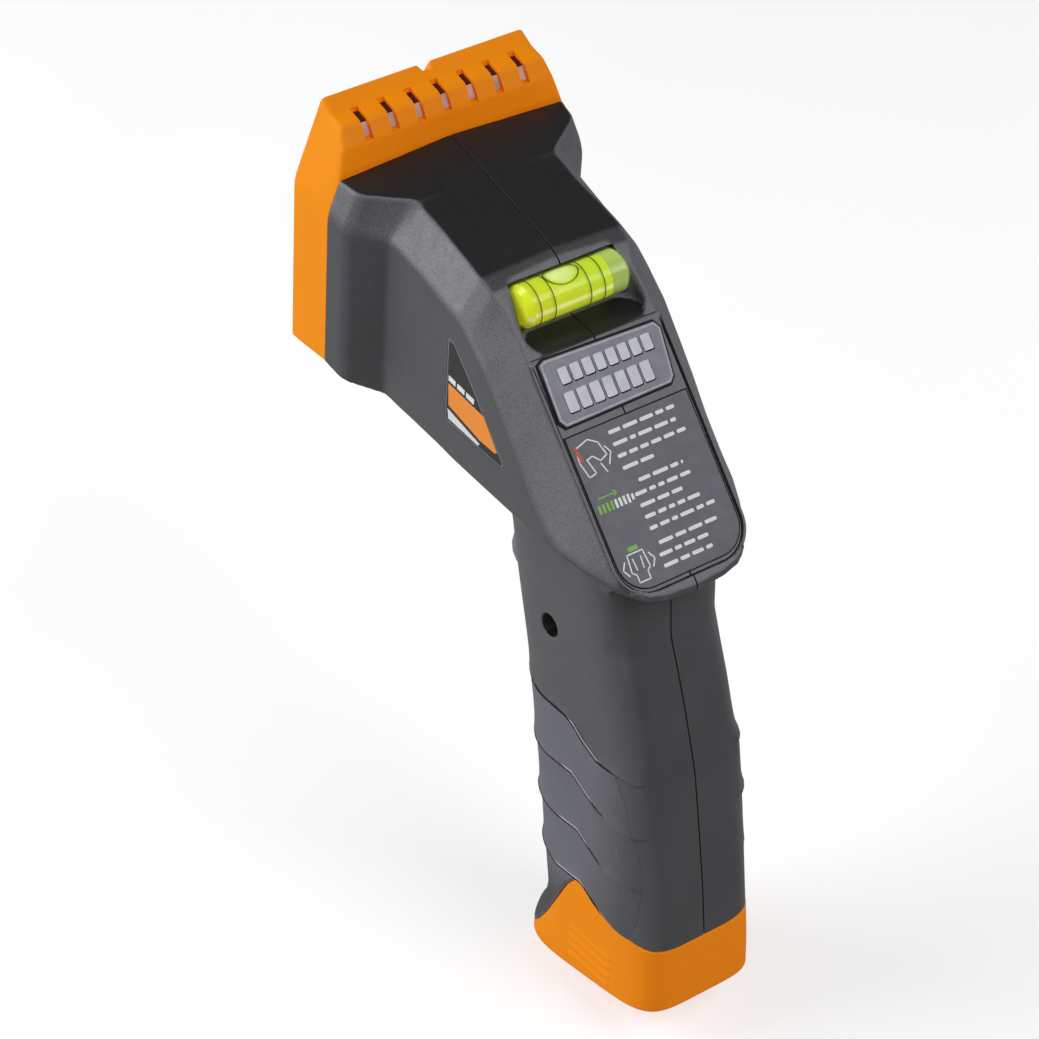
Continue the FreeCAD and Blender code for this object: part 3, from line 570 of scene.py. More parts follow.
def crossings(field, low, step, values, axis):
    """Where grid edges along an axis pierce the surface: points, normals and cell quads."""
    head, tail = [slice(None)] * 3, [slice(None)] * 3
    head[axis], tail[axis] = slice(0, -1), slice(1, None)
    start, end = values[tuple(head)], values[tuple(tail)]
    crossed = ((start < 0) != (end < 0)) & ~np.isnan(start) & ~np.isnan(end)
    edges = np.argwhere(crossed)
    cells = np.array(values.shape) - 1
    b, c = (axis + 1) % 3, (axis + 2) % 3
    inner = ((edges[:, b] > 0) & (edges[:, c] > 0)
             & (edges[:, b] < cells[b]) & (edges[:, c] < cells[c]))
    edges = edges[inner]

    # bracketed search for the zero along each edge
    start, end = start[tuple(edges.T)], end[tuple(edges.T)]
    t0, t1 = np.zeros(len(edges)), np.ones(len(edges))
    f0, f1 = start.copy(), end.copy()
    for _ in range(3):
        t = np.clip(t0 + (t1 - t0) * np.clip(f0 / (f0 - f1 + 1e-30), 0.05, 0.95), 0, 1)
        points = low + step * edges
        points[:, axis] += step * t
        ft = field(*points.T)
        same = (ft < 0) == (f0 < 0)
        t0, f0 = np.where(same, t, t0), np.where(same, ft, f0)
        t1, f1 = np.where(same, t1, t), np.where(same, f1, ft)
    t = t0 + (t1 - t0) * f0 / (f0 - f1 + 1e-30)
    points = low + step * edges
    points[:, axis] += step * np.clip(t, 0, 1)

    normals = np.zeros_like(points)
    for k in range(3):
        ahead, behind = points.copy(), points.copy()
        ahead[:, k] += 0.02
        behind[:, k] -= 0.02
        normals[:, k] = field(*ahead.T) - field(*behind.T)
    normals /= np.linalg.norm(normals, axis=1, keepdims=True) + 1e-12

    quads = []
    for shift_b, shift_c in ((-1, -1), (0, -1), (0, 0), (-1, 0)):
        cell = edges.copy()
        cell[:, b] += shift_b
        cell[:, c] += shift_c
        quads.append((cell[:, 0] * cells[1] + cell[:, 1]) * cells[2] + cell[:, 2])
    quads = np.stack(quads, 1)
    quads[start >= 0] = quads[start >= 0][:, ::-1]
    return points, normals, quads


def contour_mesh(name, field, low, high, step):
    """Dual contouring of a field (millimetres, negative inside) in a narrow band of a grid."""
    low, high = np.array(low, float), np.array(high, float)
    values = sample_band(field, low, high, step)
    found = [crossings(field, low, step, values, axis) for axis in range(3)]
    points = np.concatenate([np.tile(p, (4, 1)) for p, _, _ in found])
    normals = np.concatenate([np.tile(n, (4, 1)) for _, n, _ in found])
    owners = np.concatenate([q.T.ravel() for _, _, q in found])
    quads = np.concatenate([q for _, _, q in found])

    # one vertex per cell, where the tangent planes of its crossings meet best
    cell_ids, owner = np.unique(owners, return_inverse=True)
    owner = owner.reshape(-1)
    count = len(cell_ids)
    hits = np.bincount(owner, minlength=count).astype(float)
    mean = np.stack([np.bincount(owner, points[:, k], count) for k in range(3)], 1)
    mean = mean / hits[:, None]
    matrix = np.zeros((count, 3, 3))
    target = np.zeros((count, 3))
    offset = np.einsum("ij,ij->i", normals, points - mean[owner])
    for i in range(3):
        target[:, i] = np.bincount(owner, normals[:, i] * offset, count)
        for j in range(i, 3):
            term = np.bincount(owner, normals[:, i] * normals[:, j], count)
            matrix[:, i, j] = matrix[:, j, i] = term
    matrix += np.eye(3) * (0.03 * hits)[:, None, None]  # pull towards the mean
    corners = np.linalg.solve(matrix, target[:, :, None])[:, :, 0] + mean
    cells = np.array(values.shape) - 1
    cell = np.stack(np.unravel_index(cell_ids, tuple(cells)), 1)
    floor = low + step * cell
    corners = np.clip(corners, floor + 0.02 * step, floor + 0.98 * step)
    faces = np.searchsorted(cell_ids, quads)

    mesh = bpy.data.meshes.new(name)
    mesh.vertices.add(count)
    mesh.vertices.foreach_set("co", (corners * MM).astype(np.float32).ravel())
    mesh.loops.add(len(faces) * 4)
    mesh.loops.foreach_set("vertex_index", faces.astype(np.int32).ravel())
    mesh.polygons.add(len(faces))
    starts = np.arange(0, 4 * len(faces), 4, dtype=np.int32)
    mesh.polygons.foreach_set("loop_start", starts)
    mesh.update(calc_edges=True)
    mesh.validate()
    shade_smooth(mesh)
    mesh.set_sharp_from_angle(angle=math.radians(34.0))
    return mesh


# ------------------------------------------------------------------ body sections

# Cross-sections of the body from front to rear:
# y, top centre z, chamfer inner x and z, chamfer outer x and z, flank x, underside z
TRUNK_STATIONS = [
    (-9.0, 18.9, 31.0, 18.2, 34.0, 10.4, 34.2, -31.2),
    (-12.6, 18.45, 30.7, 17.75, 33.8, 9.6, 33.9, -31.6),
    (-17.8, 17.7, 29.7, 17.2, 33.2, 8.3, 33.0, -33.0),
    (-19.6, 17.45, 28.4, 16.95, 32.3, 7.6, 32.2, -33.5),
    (-25.4, 16.5, 19.6, 16.1, 25.9, 7.2, 25.9, -35.8),
    (-27.4, 15.95, 18.8, 15.35, 25.6, 7.5, 25.6, -36.2),
    (-36.4, 14.15, 18.6, 13.4, 25.2, 5.6, 25.2, -36.9),
    (-45.0, 12.75, 19.1, 11.8, 25.1, 3.1, 25.1, -37.2),
    (-50.7, 11.2, 19.3, 10.4, 25.1, 2.0, 25.1, -37.5),
    (-55.0, 9.2, 19.0, 8.4, 25.1, -0.9, 25.1, -37.55),
    (-58.1, 6.4, 17.9, 5.8, 25.1, -3.2, 25.1, -37.6),
    (-61.5, 3.6, 17.8, 3.0, 25.1, -5.8, 25.1, -37.6),
    (-67.6, -1.50, 18.0, -1.8, 25.1, -12.5, 25.1, -37.6),
    (-74.1, -8.06, 18.1, -8.3, 25.1, -19.9, 25.1, -37.6),
    (-79.9, -13.92, 18.2, -14.2, 25.1, -27.3, 25.1, -37.4),
    (-86.5, -20.58, 18.3, -20.8, 25.0, -34.0, 25.0, -37.5),
    (-92.0, -26.14, 18.3, -26.4, 24.2, -37.2, 24.2, -38.2),
    (-97.0, -31.19, 18.2, -31.4, 22.2, -38.9, 22.2, -40.0),
    (-104.2, -38.46, 17.6, -38.7, 18.5, -41.0, 18.5, -42.2),
    (-106.2, -40.48, 15.2, -40.6, 15.9, -42.4, 15.9, -43.4),
    (-108.0, -42.30, 12.3, -42.4, 13.0, -43.8, 13.0, -44.6),
    (-109.6, -43.92, 8.0, -44.0, 8.6, -45.0, 8.6, -45.8),
    (-113.0, -47.3, 5.0, -47.4, 5.6, -48.2, 5.6, -49.0),
]
TOP_Z, INNER_X, INNER_Z, OUTER_X, OUTER_Z, FLANK_X, UNDER_Z = smooth_curves(TRUNK_STATIONS, 0.45)

# Length along the top per unit of y, which turns heights above it into distances.
SLOPE_Y = np.arange(-115, 0, 0.5)
TOP_STRETCH = np.sqrt(1 + np.gradient(TOP_Z(SLOPE_Y), SLOPE_Y) ** 2)

# Rolled rim round the rear panel: half width, distance down the panel
RIM_OUTLINE = [
    (-60, -30), (20.5, -30), (20.5, 31), (20.2, 36), (19.5, 41), (18.7, 45), (17.8, 50),
    (17.0, 52.6), (15.8, 54.9), (14.2, 56.7), (12.4, 58.0), (8.0, 59.1), (0, 59.6), (-60, 59.6),
]

# Handle down its height: z, front y, rear y, half width
HANDLE_STATIONS = [
    (-33.5, -56.2, -94.0, 20.2), (-38.5, -56.5, -99.8, 19.8), (-45.0, -57.1, -101.0, 18.4),
    (-52.0, -57.8, -101.7, 17.4), (-64.0, -60.2, -103.2, 16.9), (-72, -62.2, -106.8, 16.8),
    (-80.0, -64.6, -110.3, 16.9), (-96.0, -69.2, -116.2, 17.1), (-112.0, -72.6, -119.9, 17.0),
    (-127.0, -75.8, -123.2, 17.0), (-142.0, -79.0, -125.8, 17.1), (-150.0, -80.8, -127.0, 17.2),
    (-156.0, -80.0, -127.8, 17.2), (-161.0, -77.2, -128.4, 17.2), (-167.0, -75.4, -129.0, 17.2),
    (-178.0, -76.4, -130.2, 17.2),
]
HANDLE_FRONT, HANDLE_BACK, HANDLE_WIDTH = smooth_curves(HANDLE_STATIONS, 1.2)
FRONT_SQUARENESS, BACK_SQUARENESS = 3.7, 5.0  # superellipse exponents

# Parting line between handle and battery cap: y, z
[CAP_LINE_Z] = smooth_curves([
    (-200, -155.0), (-145, -144.6), (-122.2, -140.6), (-114, -139.2), (-107.2, -137.2),
    (-101.3, -135.9), (-97.6, -137.0), (-95, -140.4), (-91, -149.0), (-86.2, -159.0),
    (-83, -164.2), (-78.6, -169.4), (-70, -176), (-60, -184),
], 0.5)

# Upper edges of the four lower grip scales, top to bottom: y, z
SCALE_EDGES = [
    [(-50, -86.8), (-75.7, -90.3), (-80.6, -90.4), (-90.3, -89.6), (-93.5, -90.6),
     (-96.8, -92.4), (-102.5, -94.3), (-107.9, -93.9), (-125, -95.5)],
    [(-50, -104.4), (-78.5, -106.1), (-85.6, -105.4), (-94.6, -103.9), (-98.2, -105.4),
     (-103.9, -107.5), (-110.9, -108.2), (-125, -110.0)],
    [(-50, -119.6), (-81.3, -121.2), (-89.2, -121.0), (-98.3, -119.4), (-101.9, -120.9),
     (-108.5, -123.6), (-115.4, -123.4), (-130, -125.0)],
    [(-50, -134.0), (-84.4, -135.6), (-92.1, -136.0), (-101.2, -134.3), (-105.6, -136.2),
     (-112.5, -139.4), (-121, -141.2), (-135, -143.0)],
]
SCALE_Z = [smooth_curves(edge, 0.5)[0] for edge in SCALE_EDGES]

# Side view of the soft grip, starting along the first scale edge: y, z
GRIP_OUTLINE = [
    (-40, -87.0), (-76, -90.3), *SCALE_EDGES[0][2:8], (-112.0, -101.0), (-116.6, -112.0),
    (-119.0, -122.0), (-119.5, -133), (-117.6, -141.2), (-112.5, -139.0), (-105.6, -135.9),
    (-101.3, -135.3), (-97.2, -136.4), (-94.2, -140.2), (-90.3, -148.6), (-85.5, -158.6),
    (-82.3, -163.8), (-77.9, -169.0), (-60, -183), (-40, -183),
]

# Side label: y, z
SIDE_LABEL = [(-47.9, -5.2), (-50.3, -5.3), (-57.4, -12.2), (-62.6, -17.7), (-70.6, -26.3),
              (-69.5, -27.6), (-49.0, -28.0), (-47.9, -27.2)]

# Battery bay and foot lean together: cosine and sine of the lean.
FOOT_COS, FOOT_SIN = 0.9703, 0.2419


# ------------------------------------------------------------------ body fields

def on_panel(x, down, out):
    """Point at x, a distance down the rear panel and a height out of it."""
    return (x, PANEL_Y - PANEL_COS * down - PANEL_SIN * out,
            PANEL_Z - PANEL_SIN * down + PANEL_COS * out)


def panel_coords(y, z):
    """Distance down the rear panel and height out of it."""
    dy, dz = y - PANEL_Y, z - PANEL_Z
    return dy * -PANEL_COS + dz * -PANEL_SIN, dy * -PANEL_SIN + dz * PANEL_COS


def trunk(x, y, z):
    ax = np.abs(x)
    top_z, inner_x, inner_z = TOP_Z(y), INNER_X(y), INNER_Z(y)
    outer_x, outer_z = OUTER_X(y), OUTER_Z(y)
    top = z - (top_z - (top_z - inner_z) / inner_x * ax)
    top = top / np.interp(y, SLOPE_Y, TOP_STRETCH)
    d = smax(top, chamfer(ax, z, inner_x, inner_z, outer_x, outer_z), 0.8)
    d = smax(d, ax - outer_x, 1.0)
    return smax(d, UNDER_Z(y) - z, 1.3)


def handle(x, y, z):
    """Superellipse sections, squarer at the back than at the front."""
    front, back, width = HANDLE_FRONT(z), HANDLE_BACK(z), HANDLE_WIDTH(z)
    depth = (front - back) / 2
    middle = (front + back) / 2
    e = np.where(y > middle, FRONT_SQUARENESS, BACK_SQUARENESS)
    u, v = np.abs(x) / width + 1e-9, np.abs(y - middle) / depth + 1e-9
    q = (u ** e + v ** e) ** (1 / e)
    slope = np.hypot((u / q) ** (e - 1) / width, (v / q) ** (e - 1) / depth)
    return (q - 1) / np.maximum(slope, 0.03)


def cap_line(y, z):
    return (z - CAP_LINE_Z(y)) * 0.75


def foot(y, z):
    """Sloping underside of the handle."""
    return (y + 126.3) * -FOOT_SIN + (z + 157.0) * -FOOT_COS - 2.1


def bay_walls(x, y, z, half_width, half_depth):
    """Upright walls of the battery bay, leaning with the handle."""
    across = (y + 103.5) * FOOT_COS + (z + 127) * -FOOT_SIN
    return np.maximum(np.abs(x) - half_width, np.abs(across) - half_depth)


def scale_height(x, y, z):
    """Overlapping scales: each swells towards its lower edge, then steps down to the next."""
    edges = [SCALE_Z[0](y) + 15.0] + [edge(y) for edge in SCALE_Z] + [SCALE_Z[3](y) - 22.0]
    height = np.zeros(z.shape)
    previous = np.zeros(z.shape)
    for i, (upper, lower) in enumerate(zip(edges, edges[1:])):
        t = np.clip((upper - z) / (upper - lower), 0, 1)
        if i == 0:
            lift = 0.95 * t ** 7
        else:
            lift = 0.12 + 0.38 * smoothstep(np.clip((upper - z) / 0.9, 0, 1))
            if i < 4:  # the last scale stays level
                lift = lift + t ** 6
            step = smoothstep(np.clip((upper - z) / 0.42, 0, 1))
            lift = previous * (1 - step) + lift * step
        height = np.where((z <= upper) & (z > lower), lift, height)
        previous = 0.95 if i == 0 else 1.5
    # the scales die out towards the back edge and towards the centre of the handle
    fade = 1 / (1 + np.exp(-(y + 117.0) / 1.4))
    ax = np.abs(x)
    front, back = HANDLE_FRONT(z), HANDLE_BACK(z)
    at_front = np.clip((ax - 4) / 8, 0, 1) * (0.4 + 0.6 * np.clip((front - y - 3) / 9, 0, 1))
    at_back = smoothstep(np.clip((ax - 11.3) / 3.2, 0, 1))
    k = np.clip(((front + back) / 2 - y) / 8, 0, 1)
    return height * fade * (at_front * (1 - k) + at_back * k)


def bezel_seam(x):
    """y of the shallow chevron where shells and bezel meet."""
    return -11.5 - 0.037 * np.abs(x)


def window_surround(x, y, z):
    """Low raised surround of the trigger window on the front of the handle."""
    d = rmax(np.abs(x) - 10.6, np.abs(y - (HANDLE_FRONT(z) - 6.0)) - 6.5, 3.5)
    return smax(d, np.abs(z + 60.0) - 17.2, 3.0)


def body_outer(x, y, z):
    ax = np.abs(x)
    down, out = panel_coords(y, z)
    rim = polygon(ax, down, RIM_OUTLINE)
    d = smax(trunk(x, y, z), down - 58.6, 0.8)
    # rounded lip at the rear end
    lip = rim + np.clip((55.0 - down) / 9.0, 0, 1) * 4.5
    lip = rmax(lip, np.abs(out + 1.25) - 1.9, 1.75)
    d = smin(d, np.maximum(lip, 44.0 - down), 0.5)
    # handle, running out into the underside of the body
    grip_core = handle(x, y, z)
    under_z = UNDER_Z(y)
    k = np.clip((-90 - y) / 10, 0, 1) * np.clip((17.5 - ax) / 6, 0, 1)
    fillet = smin(grip_core, under_z - z, 13.0 - 8.5 * k)
    fillet = smax(fillet, ax - FLANK_X(y) + 0.25, 0.8)
    fillet = np.maximum(fillet, z - np.minimum(under_z + 2.5, TOP_Z(y) - 1.7))
    fillet = np.maximum(fillet, rim + 0.7)
    fillet = np.maximum(fillet, y + 38.0)
    lower = smin(smax(grip_core, z + 36.0, 2.0), window_surround(x, y, z), 2.0)
    return np.minimum(np.minimum(d, fillet), lower)


def vial_pocket(ax, y, z):
    """Open pocket in the top, its walls leaning and its corners cut off."""
    side = (ax - 16.2 + (TOP_Z(y) - z) * 0.20) * 0.97
    front = (y + 53.6) * 0.897 + (10.2 - z) * 0.442
    back = -67.7 - y
    front_corner = ((ax - 13.4) + (y + 53.6) * 0.9 + (10.2 - z) * 0.5) * 0.707
    back_corner = ((ax - 13.2) - (y + 67.7)) * 0.707
    d = smax(smax(side, front, 0.8), smax(back, -1.6 - z, 0.6), 0.8)
    return smax(smax(d, front_corner, 0.8), back_corner, 0.8)


def panel_recess(x, y, z):
    """Shallow recess of the rear panel, rounded at its lower corners."""
    down, out = panel_coords(y, z)
    half_width, length, radius = 17.5, 56.2, 8.5
    qx, qs = np.abs(x) - (half_width - radius), down - (length - radius)
    d = np.hypot(np.maximum(qx, 0), np.maximum(qs, 0))
    d = d + np.minimum(np.maximum(qx, qs), 0) - radius
    return np.maximum(smax(d, -out - 0.45, 0.25), -0.6 - down)


def screw_well(x, y, z):
    """Round well in the left side of the handle."""
    d = np.maximum(np.hypot(y + 80.4, z + 69.8) - 3.0, 12.2 + np.minimum(x, 0))
    return np.where(x < 0, d, 50.0)


def trigger_window(ax, y, z):
    d = smax(smax(ax - 6.9, np.abs(z + 60.9) - 15.9, 1.0), -74.0 - y, 0.5)
    d = smax(d, y + 40.0, 0.5)
    return np.where(y < -45, np.maximum(d, np.where(z > -44, 1.0, -9.0)), 9.0)


def body(x, y, z):
    ax = np.abs(x)
    d = body_outer(x, y, z)
    d = d - np.where(z < -74, scale_height(x, y, z), 0.0)
    grip_bed = np.maximum(polygon(y, z, GRIP_OUTLINE) + 0.6, -d - 1.4)
    d = np.where(z < -70, np.maximum(d, -grip_bed), d)
    d = smax(d, -vial_pocket(ax, y, z), 1.0)
    vial_seat = np.maximum(np.hypot(y - VIAL_Y, z - VIAL_Z) - 5.55, ax - 14.45)
    d = smax(d, -vial_seat, 0.3)
    d = smax(d, -panel_recess(x, y, z), 0.35)
    d = smax(d, -screw_well(x, y, z), 0.5)
    d = smax(d, -trigger_window(ax, y, z), 0.6)
    label_bed = np.maximum(polygon(y, z, SIDE_LABEL), (FLANK_X(y) - 0.35) - ax)
    d = np.where((z > -40) & (y > -72), smax(d, -label_bed, 0.15), d)
    # lower edge and battery bay
    d = smax(d, -cap_line(y, z) + 0.07, 0.35)
    bay = np.maximum(bay_walls(x, y, z, half_width=13.6, half_depth=9.6),
                     np.maximum(foot(y, z) - 12.0, z + 99.0))
    d = np.maximum(d, -bay)
    return np.maximum(d, y - bezel_seam(x) + 0.05)


# Bezel from front to rear: y, chamfer top x and z, chamfer side x and z, underside z
BEZEL_TOP_X, BEZEL_TOP_Z, BEZEL_SIDE_X, BEZEL_SIDE_Z, BEZEL_UNDER_Z = smooth_curves([
    (0, 27.4, 31.5, 34.4, 12.5, -31.9),
    (-3.8, 27.6, 29.3, 34.3, 12.2, -31.85),
    (-8.4, 27.7, 28.4, 34.0, 11.2, -31.75),
    (-10.75, 28.9, 24.2, 33.85, 10.4, -31.7),
    (-12.55, 30.7, 17.8, 33.8, 9.6, -31.65),
], 0.25)
# Crest: y, z
[BEZEL_CREST_Z] = smooth_curves([(0, 31.5), (-3.8, 29.3), (-8.4, 28.4), (-20, 26.1)], 0.3)
# Rear face: z, y
[BEZEL_REAR_Y] = smooth_curves(
    [(31.0, -6.95), (28.4, -8.4), (24.2, -10.75), (18.65, -11.55), (0.0, -14.3)], 0.35)
LIGHT_SLOT_PITCH = 7.15


def bezel_outer(x, y, z):
    ax = np.abs(x)
    top = (z - BEZEL_CREST_Z(y)) * 0.93
    rear = BEZEL_REAR_Y(z) - 0.037 * ax * np.clip((27 - z) / 8, 0, 1)
    side_x = BEZEL_SIDE_X(y)
    slope = chamfer(ax, z, BEZEL_TOP_X(y), BEZEL_TOP_Z(y), side_x, BEZEL_SIDE_Z(y))
    d = smax(smax(top, (rear - y) * 0.9, 0.7), slope, 0.9)
    d = smax(smax(d, ax - side_x, 0.9), BEZEL_UNDER_Z(y) - z, 1.6)
    return smax(d, y, 0.35)


def bezel(x, y, z):
    ax = np.abs(x)
    outer = bezel_outer(x, y, z)
    d = np.maximum(outer, bezel_seam(x) + 0.05 - y)
    # centre mark notch in the top front edge
    notch = np.maximum(ax - np.clip(1.85 - (31.5 - z) * 0.75, 0.35, 3), -3.4 - y)
    notch = np.maximum(notch, 30.1 - z - (y + 1.6) * 0.55)
    d = smax(d, -notch, 0.4)
    # seven light slots over the crest
    nearest = np.clip(np.round(x / LIGHT_SLOT_PITCH), -3, 3) * LIGHT_SLOT_PITCH
    slots = np.maximum(np.abs(x - nearest) - 1.05, -outer - 3.2)
    slots = np.maximum(slots, np.maximum(y + 3.9, 24.25 - z))
    d = smax(d, -slots, 0.15)
    # hollow interior, open at the front
    hollow = np.maximum(np.maximum(ax - 31.9, -29.0 - z), -(y + 13.2))
    hollow = np.maximum(hollow, chamfer(ax, z, 28.2, 29.3, 34.2, 12.2) + 2.3)
    ceiling = np.minimum(np.maximum(z - 27.0, -2.4 - y),
                         z - (22.6 + np.clip(y + 7.0, -9, 0) * 2.2))
    return np.maximum(d, -np.maximum(hollow, ceiling))


def battery_cap(x, y, z):
    d = handle(x, y, z) - 0.12
    d = smax(d, foot(y, z) - 0.35, 1.5)
    # four sloping finger ribs on each side
    ribs = np.zeros(z.shape)
    length_fade = np.clip(8.2 - np.abs(y + 105.25), 0, 1)
    for i in range(4):
        dz = z - (-151.8 - 2.9 * i - 0.115 * (y + 105))
        ribs = np.maximum(ribs, 0.45 * np.exp(-((dz / 0.45) ** 2)) * length_fade)
    d = d - np.where(np.abs(x) > 11, ribs, 0)
    d = smax(d, cap_line(y, z) + 0.07, 0.3)
    bay = np.maximum(bay_walls(x, y, z, half_width=13.2, half_depth=9.2), foot(y, z) + 2.4)
    return np.maximum(d, -bay)


def scaled_handle(x, y, z):
    """Handle surface with the soft grip's scales on it."""
    return handle(x, y, z) - scale_height(x, y, z) - 0.08


def grip(x, y, z):
    d = np.maximum(scaled_handle(x, y, z), polygon(y, z, GRIP_OUTLINE) + 0.03)
    d = np.maximum(d, 0.12 - cap_line(y, z))
    return np.maximum(d, -handle(x, y, z) - 1.25)


# Side view of the trigger: y, z
TRIGGER_OUTLINE = [
    (-57.6, -46.4), (-56.4, -50), (-56.2, -56), (-55.0, -61), (-53.6, -65.0), (-51.2, -67.4),
    (-50.6, -70.4), (-51.2, -73.2), (-53.2, -75.3), (-57.0, -76.1), (-61.4, -75.7),
    (-63.4, -73.8), (-64, -69), (-65.2, -62), (-66.6, -54.6), (-66.8, -50.6), (-65.5, -47.4),
    (-61.5, -46.2),
]


def trigger(x, y, z):
    d = rmax(polygon(y, z, TRIGGER_OUTLINE), np.abs(x) - 6.5, 1.6)
    # shallow finger grooves across the front
    grooves = 0.3 * np.clip(np.cos((z + 60) * 2 * math.pi / 3.2), 0, 1)
    grooves = grooves * np.clip(4.6 - np.abs(x), 0, 1)
    return d + grooves * ((y > -60) & (z > -70) & (z < -52))


# ------------------------------------------------------------------ skins

def add_skin(part, field, low, high, step, material, rides="housing"):
    """Skin over a CAD part; low and high are the corners of its grid."""
    mesh = contour_mesh(part + "_skin", field, low, high, step)
    add_piece(mesh, material, rides, replaces=[part])


def add_half_skins(part, field, half_width, low, high, step, material):
    """Left and right halves; low and high give y and z, and x reaches 1.5 past the seam."""
    for side, name in ((-1, "left"), (1, "right")):
        x_low, x_high = sorted((side * half_width, -side * 1.5))
        add_skin(f"{name}_{part}",
                 lambda x, y, z: np.maximum(field(x, y, z), SEAM_GAP - side * x),
                 (x_low, *low), (x_high, *high), step, material)


add_half_skins("shell", body, 36, (-134, -176), (-9, 21), 0.55, "shell_plastic")
add_skin("front_bezel", bezel, (-36, -16, -33), (36, 2, 33), 0.42, "orange_plastic")
add_skin("battery_cap", battery_cap, (-19, -134, -175), (19, -70, -131), 0.42,
         "orange_plastic", rides="cap")
add_half_skins("grip", grip, 20.5, (-122, -174), (-60, -85), 0.4, "grip_rubber")
add_skin("trigger", trigger, (-8, -69, -79), (8, -48, -44), 0.4, "trigger_plastic",
         rides="trigger")


# ------------------------------------------------------------------ round beads

def ring(centre, radius, first, second):
    """Eight points round a centre, in the plane of two unit vectors."""
    return [centre + radius * (math.cos(a) * first + math.sin(a) * second)
            for a in np.linspace(0, 2 * math.pi, 9)[:-1]]


def add_tube(bm, rings, closed=False):
    """Skin between rings, capped at both ends or closed into a loop."""
    rings = [[bm.verts.new(Vector(point) * MM) for point in points] for points in rings]
    if not closed:
        bm.faces.new(rings[0][::-1])
    following = rings[1:] + (rings[:1] if closed else [])
    for here, there in zip(rings, following):
        for k in range(8):
            j = (k + 1) % 8
            bm.faces.new((here[k], here[j], there[j], there[k]))
    if not closed:
        bm.faces.new(rings[-1])


def add_bead_object(name, bm, material, rides="housing"):
    bmesh.ops.recalc_face_normals(bm, faces=bm.faces)
    add_piece(finish_mesh(name, bm), material, rides)


def unit(vectors):
    return vectors / np.linalg.norm(vectors, axis=-1, keepdims=True)


def scale_surface_x(y, z):
    """Half width of the grip surface at (y, z), by bisection."""
    low, high = np.zeros(y.shape), np.full(y.shape, 24.0)
    for _ in range(40):
        middle = 0.5 * (low + high)
        d = scaled_handle(middle, y, z)
        low, high = np.where(d < 0, middle, low), np.where(d < 0, high, middle)
    return 0.5 * (low + high)


def add_scale_lines(name, rise, lift, radius, y_front, y_back, material):
    """Beads along every scale edge on both sides, raised by rise in z and lift off the skin."""
    bm = bmesh.new()
    for edge in SCALE_Z:
        for side in (-1, 1):
            y = np.arange(y_front, y_back, -0.45)
            z = edge(y) + rise
            path = np.stack([side * (scale_surface_x(y, z) + lift), y, z], 1)
            u = np.linspace(0, 1, len(y))
            radii = radius * np.clip(np.minimum(u, 1 - u) * 8, 0.08, 1)  # tapered ends
            rings = []
            for point, along, r in zip(path, unit(np.gradient(path, axis=0)), radii):
                first = unit(np.cross(along, (1, 0, 0)))
                rings.append(ring(point, r, first, np.cross(along, first)))
            add_tube(bm, rings)
    add_bead_object(name, bm, material)


# painted shadow: dark beads under each scale edge
add_scale_lines("grip_scale_edge_shadows", rise=-0.10, lift=0.0, radius=0.27,
                y_front=-74.0, y_back=-110.5, material="groove_shadow")
# painted highlight: pale beads along the lips where the edges run down
add_scale_lines("grip_scale_lip_highlights", rise=0.36, lift=0.03, radius=0.19,
                y_front=-90.5, y_back=-104.0, material="lip_sheen")


# ------------------------------------------------------------------ flat outlines

def corner_arc(cx, cy, radius, start, steps):
    """Quarter circle from a start angle in degrees."""
    angles = [math.radians(start + 90 * i / steps) for i in range(steps + 1)]
    return [(cx + radius * math.cos(a), cy + radius * math.sin(a)) for a in angles]


def round_rect(x0, x1, s0, s1, radius, steps=3):
    outline = []
    for cx, cy, start in ((x1 - radius, s0 + radius, -90), (x1 - radius, s1 - radius, 0),
                          (x0 + radius, s1 - radius, 90), (x0 + radius, s0 + radius, 180)):
        outline += corner_arc(cx, cy, radius, start, steps)
    return outline


def grow(outline, distance):
    """Outline moved outwards along its corner bisectors."""
    following = outline[1:] + outline[:1]
    area = sum(a[0] * b[1] - b[0] * a[1] for a, b in zip(outline, following))
    sign = 1 if area > 0 else -1
    moved = []
    for i, after in enumerate(following):
        before, here, after = Vector(outline[i - 1]), Vector(outline[i]), Vector(after)
        a, b = (here - before).normalized(), (after - here).normalized()
        normal_a, normal_b = Vector((a.y, -a.x)) * sign, Vector((b.y, -b.x)) * sign
        middle = (normal_a + normal_b).normalized()
        moved.append(tuple(here + middle * (distance / max(0.3, middle.dot(normal_a)))))
    return moved


def stroke(points, width, closed=False):
    """Line of constant width: one quad per segment, run on a little at both ends."""
    quads = []
    for start, end in zip(points, points[1:] + (points[:1] if closed else [])):
        a, b = Vector(start), Vector(end)
        along = (b - a).normalized()
        across = Vector((-along.y, along.x)) * (width / 2)
        a, b = a - along * width * 0.35, b + along * width * 0.35
        quads.append([tuple(a - across), tuple(b - across), tuple(b + across),
                      tuple(a + across)])
    return quads


def bar(x0, x1, s, width, radius):
    """Rounded bar centred on the line s."""
    return round_rect(x0, x1, s - width / 2, s + width / 2, radius)


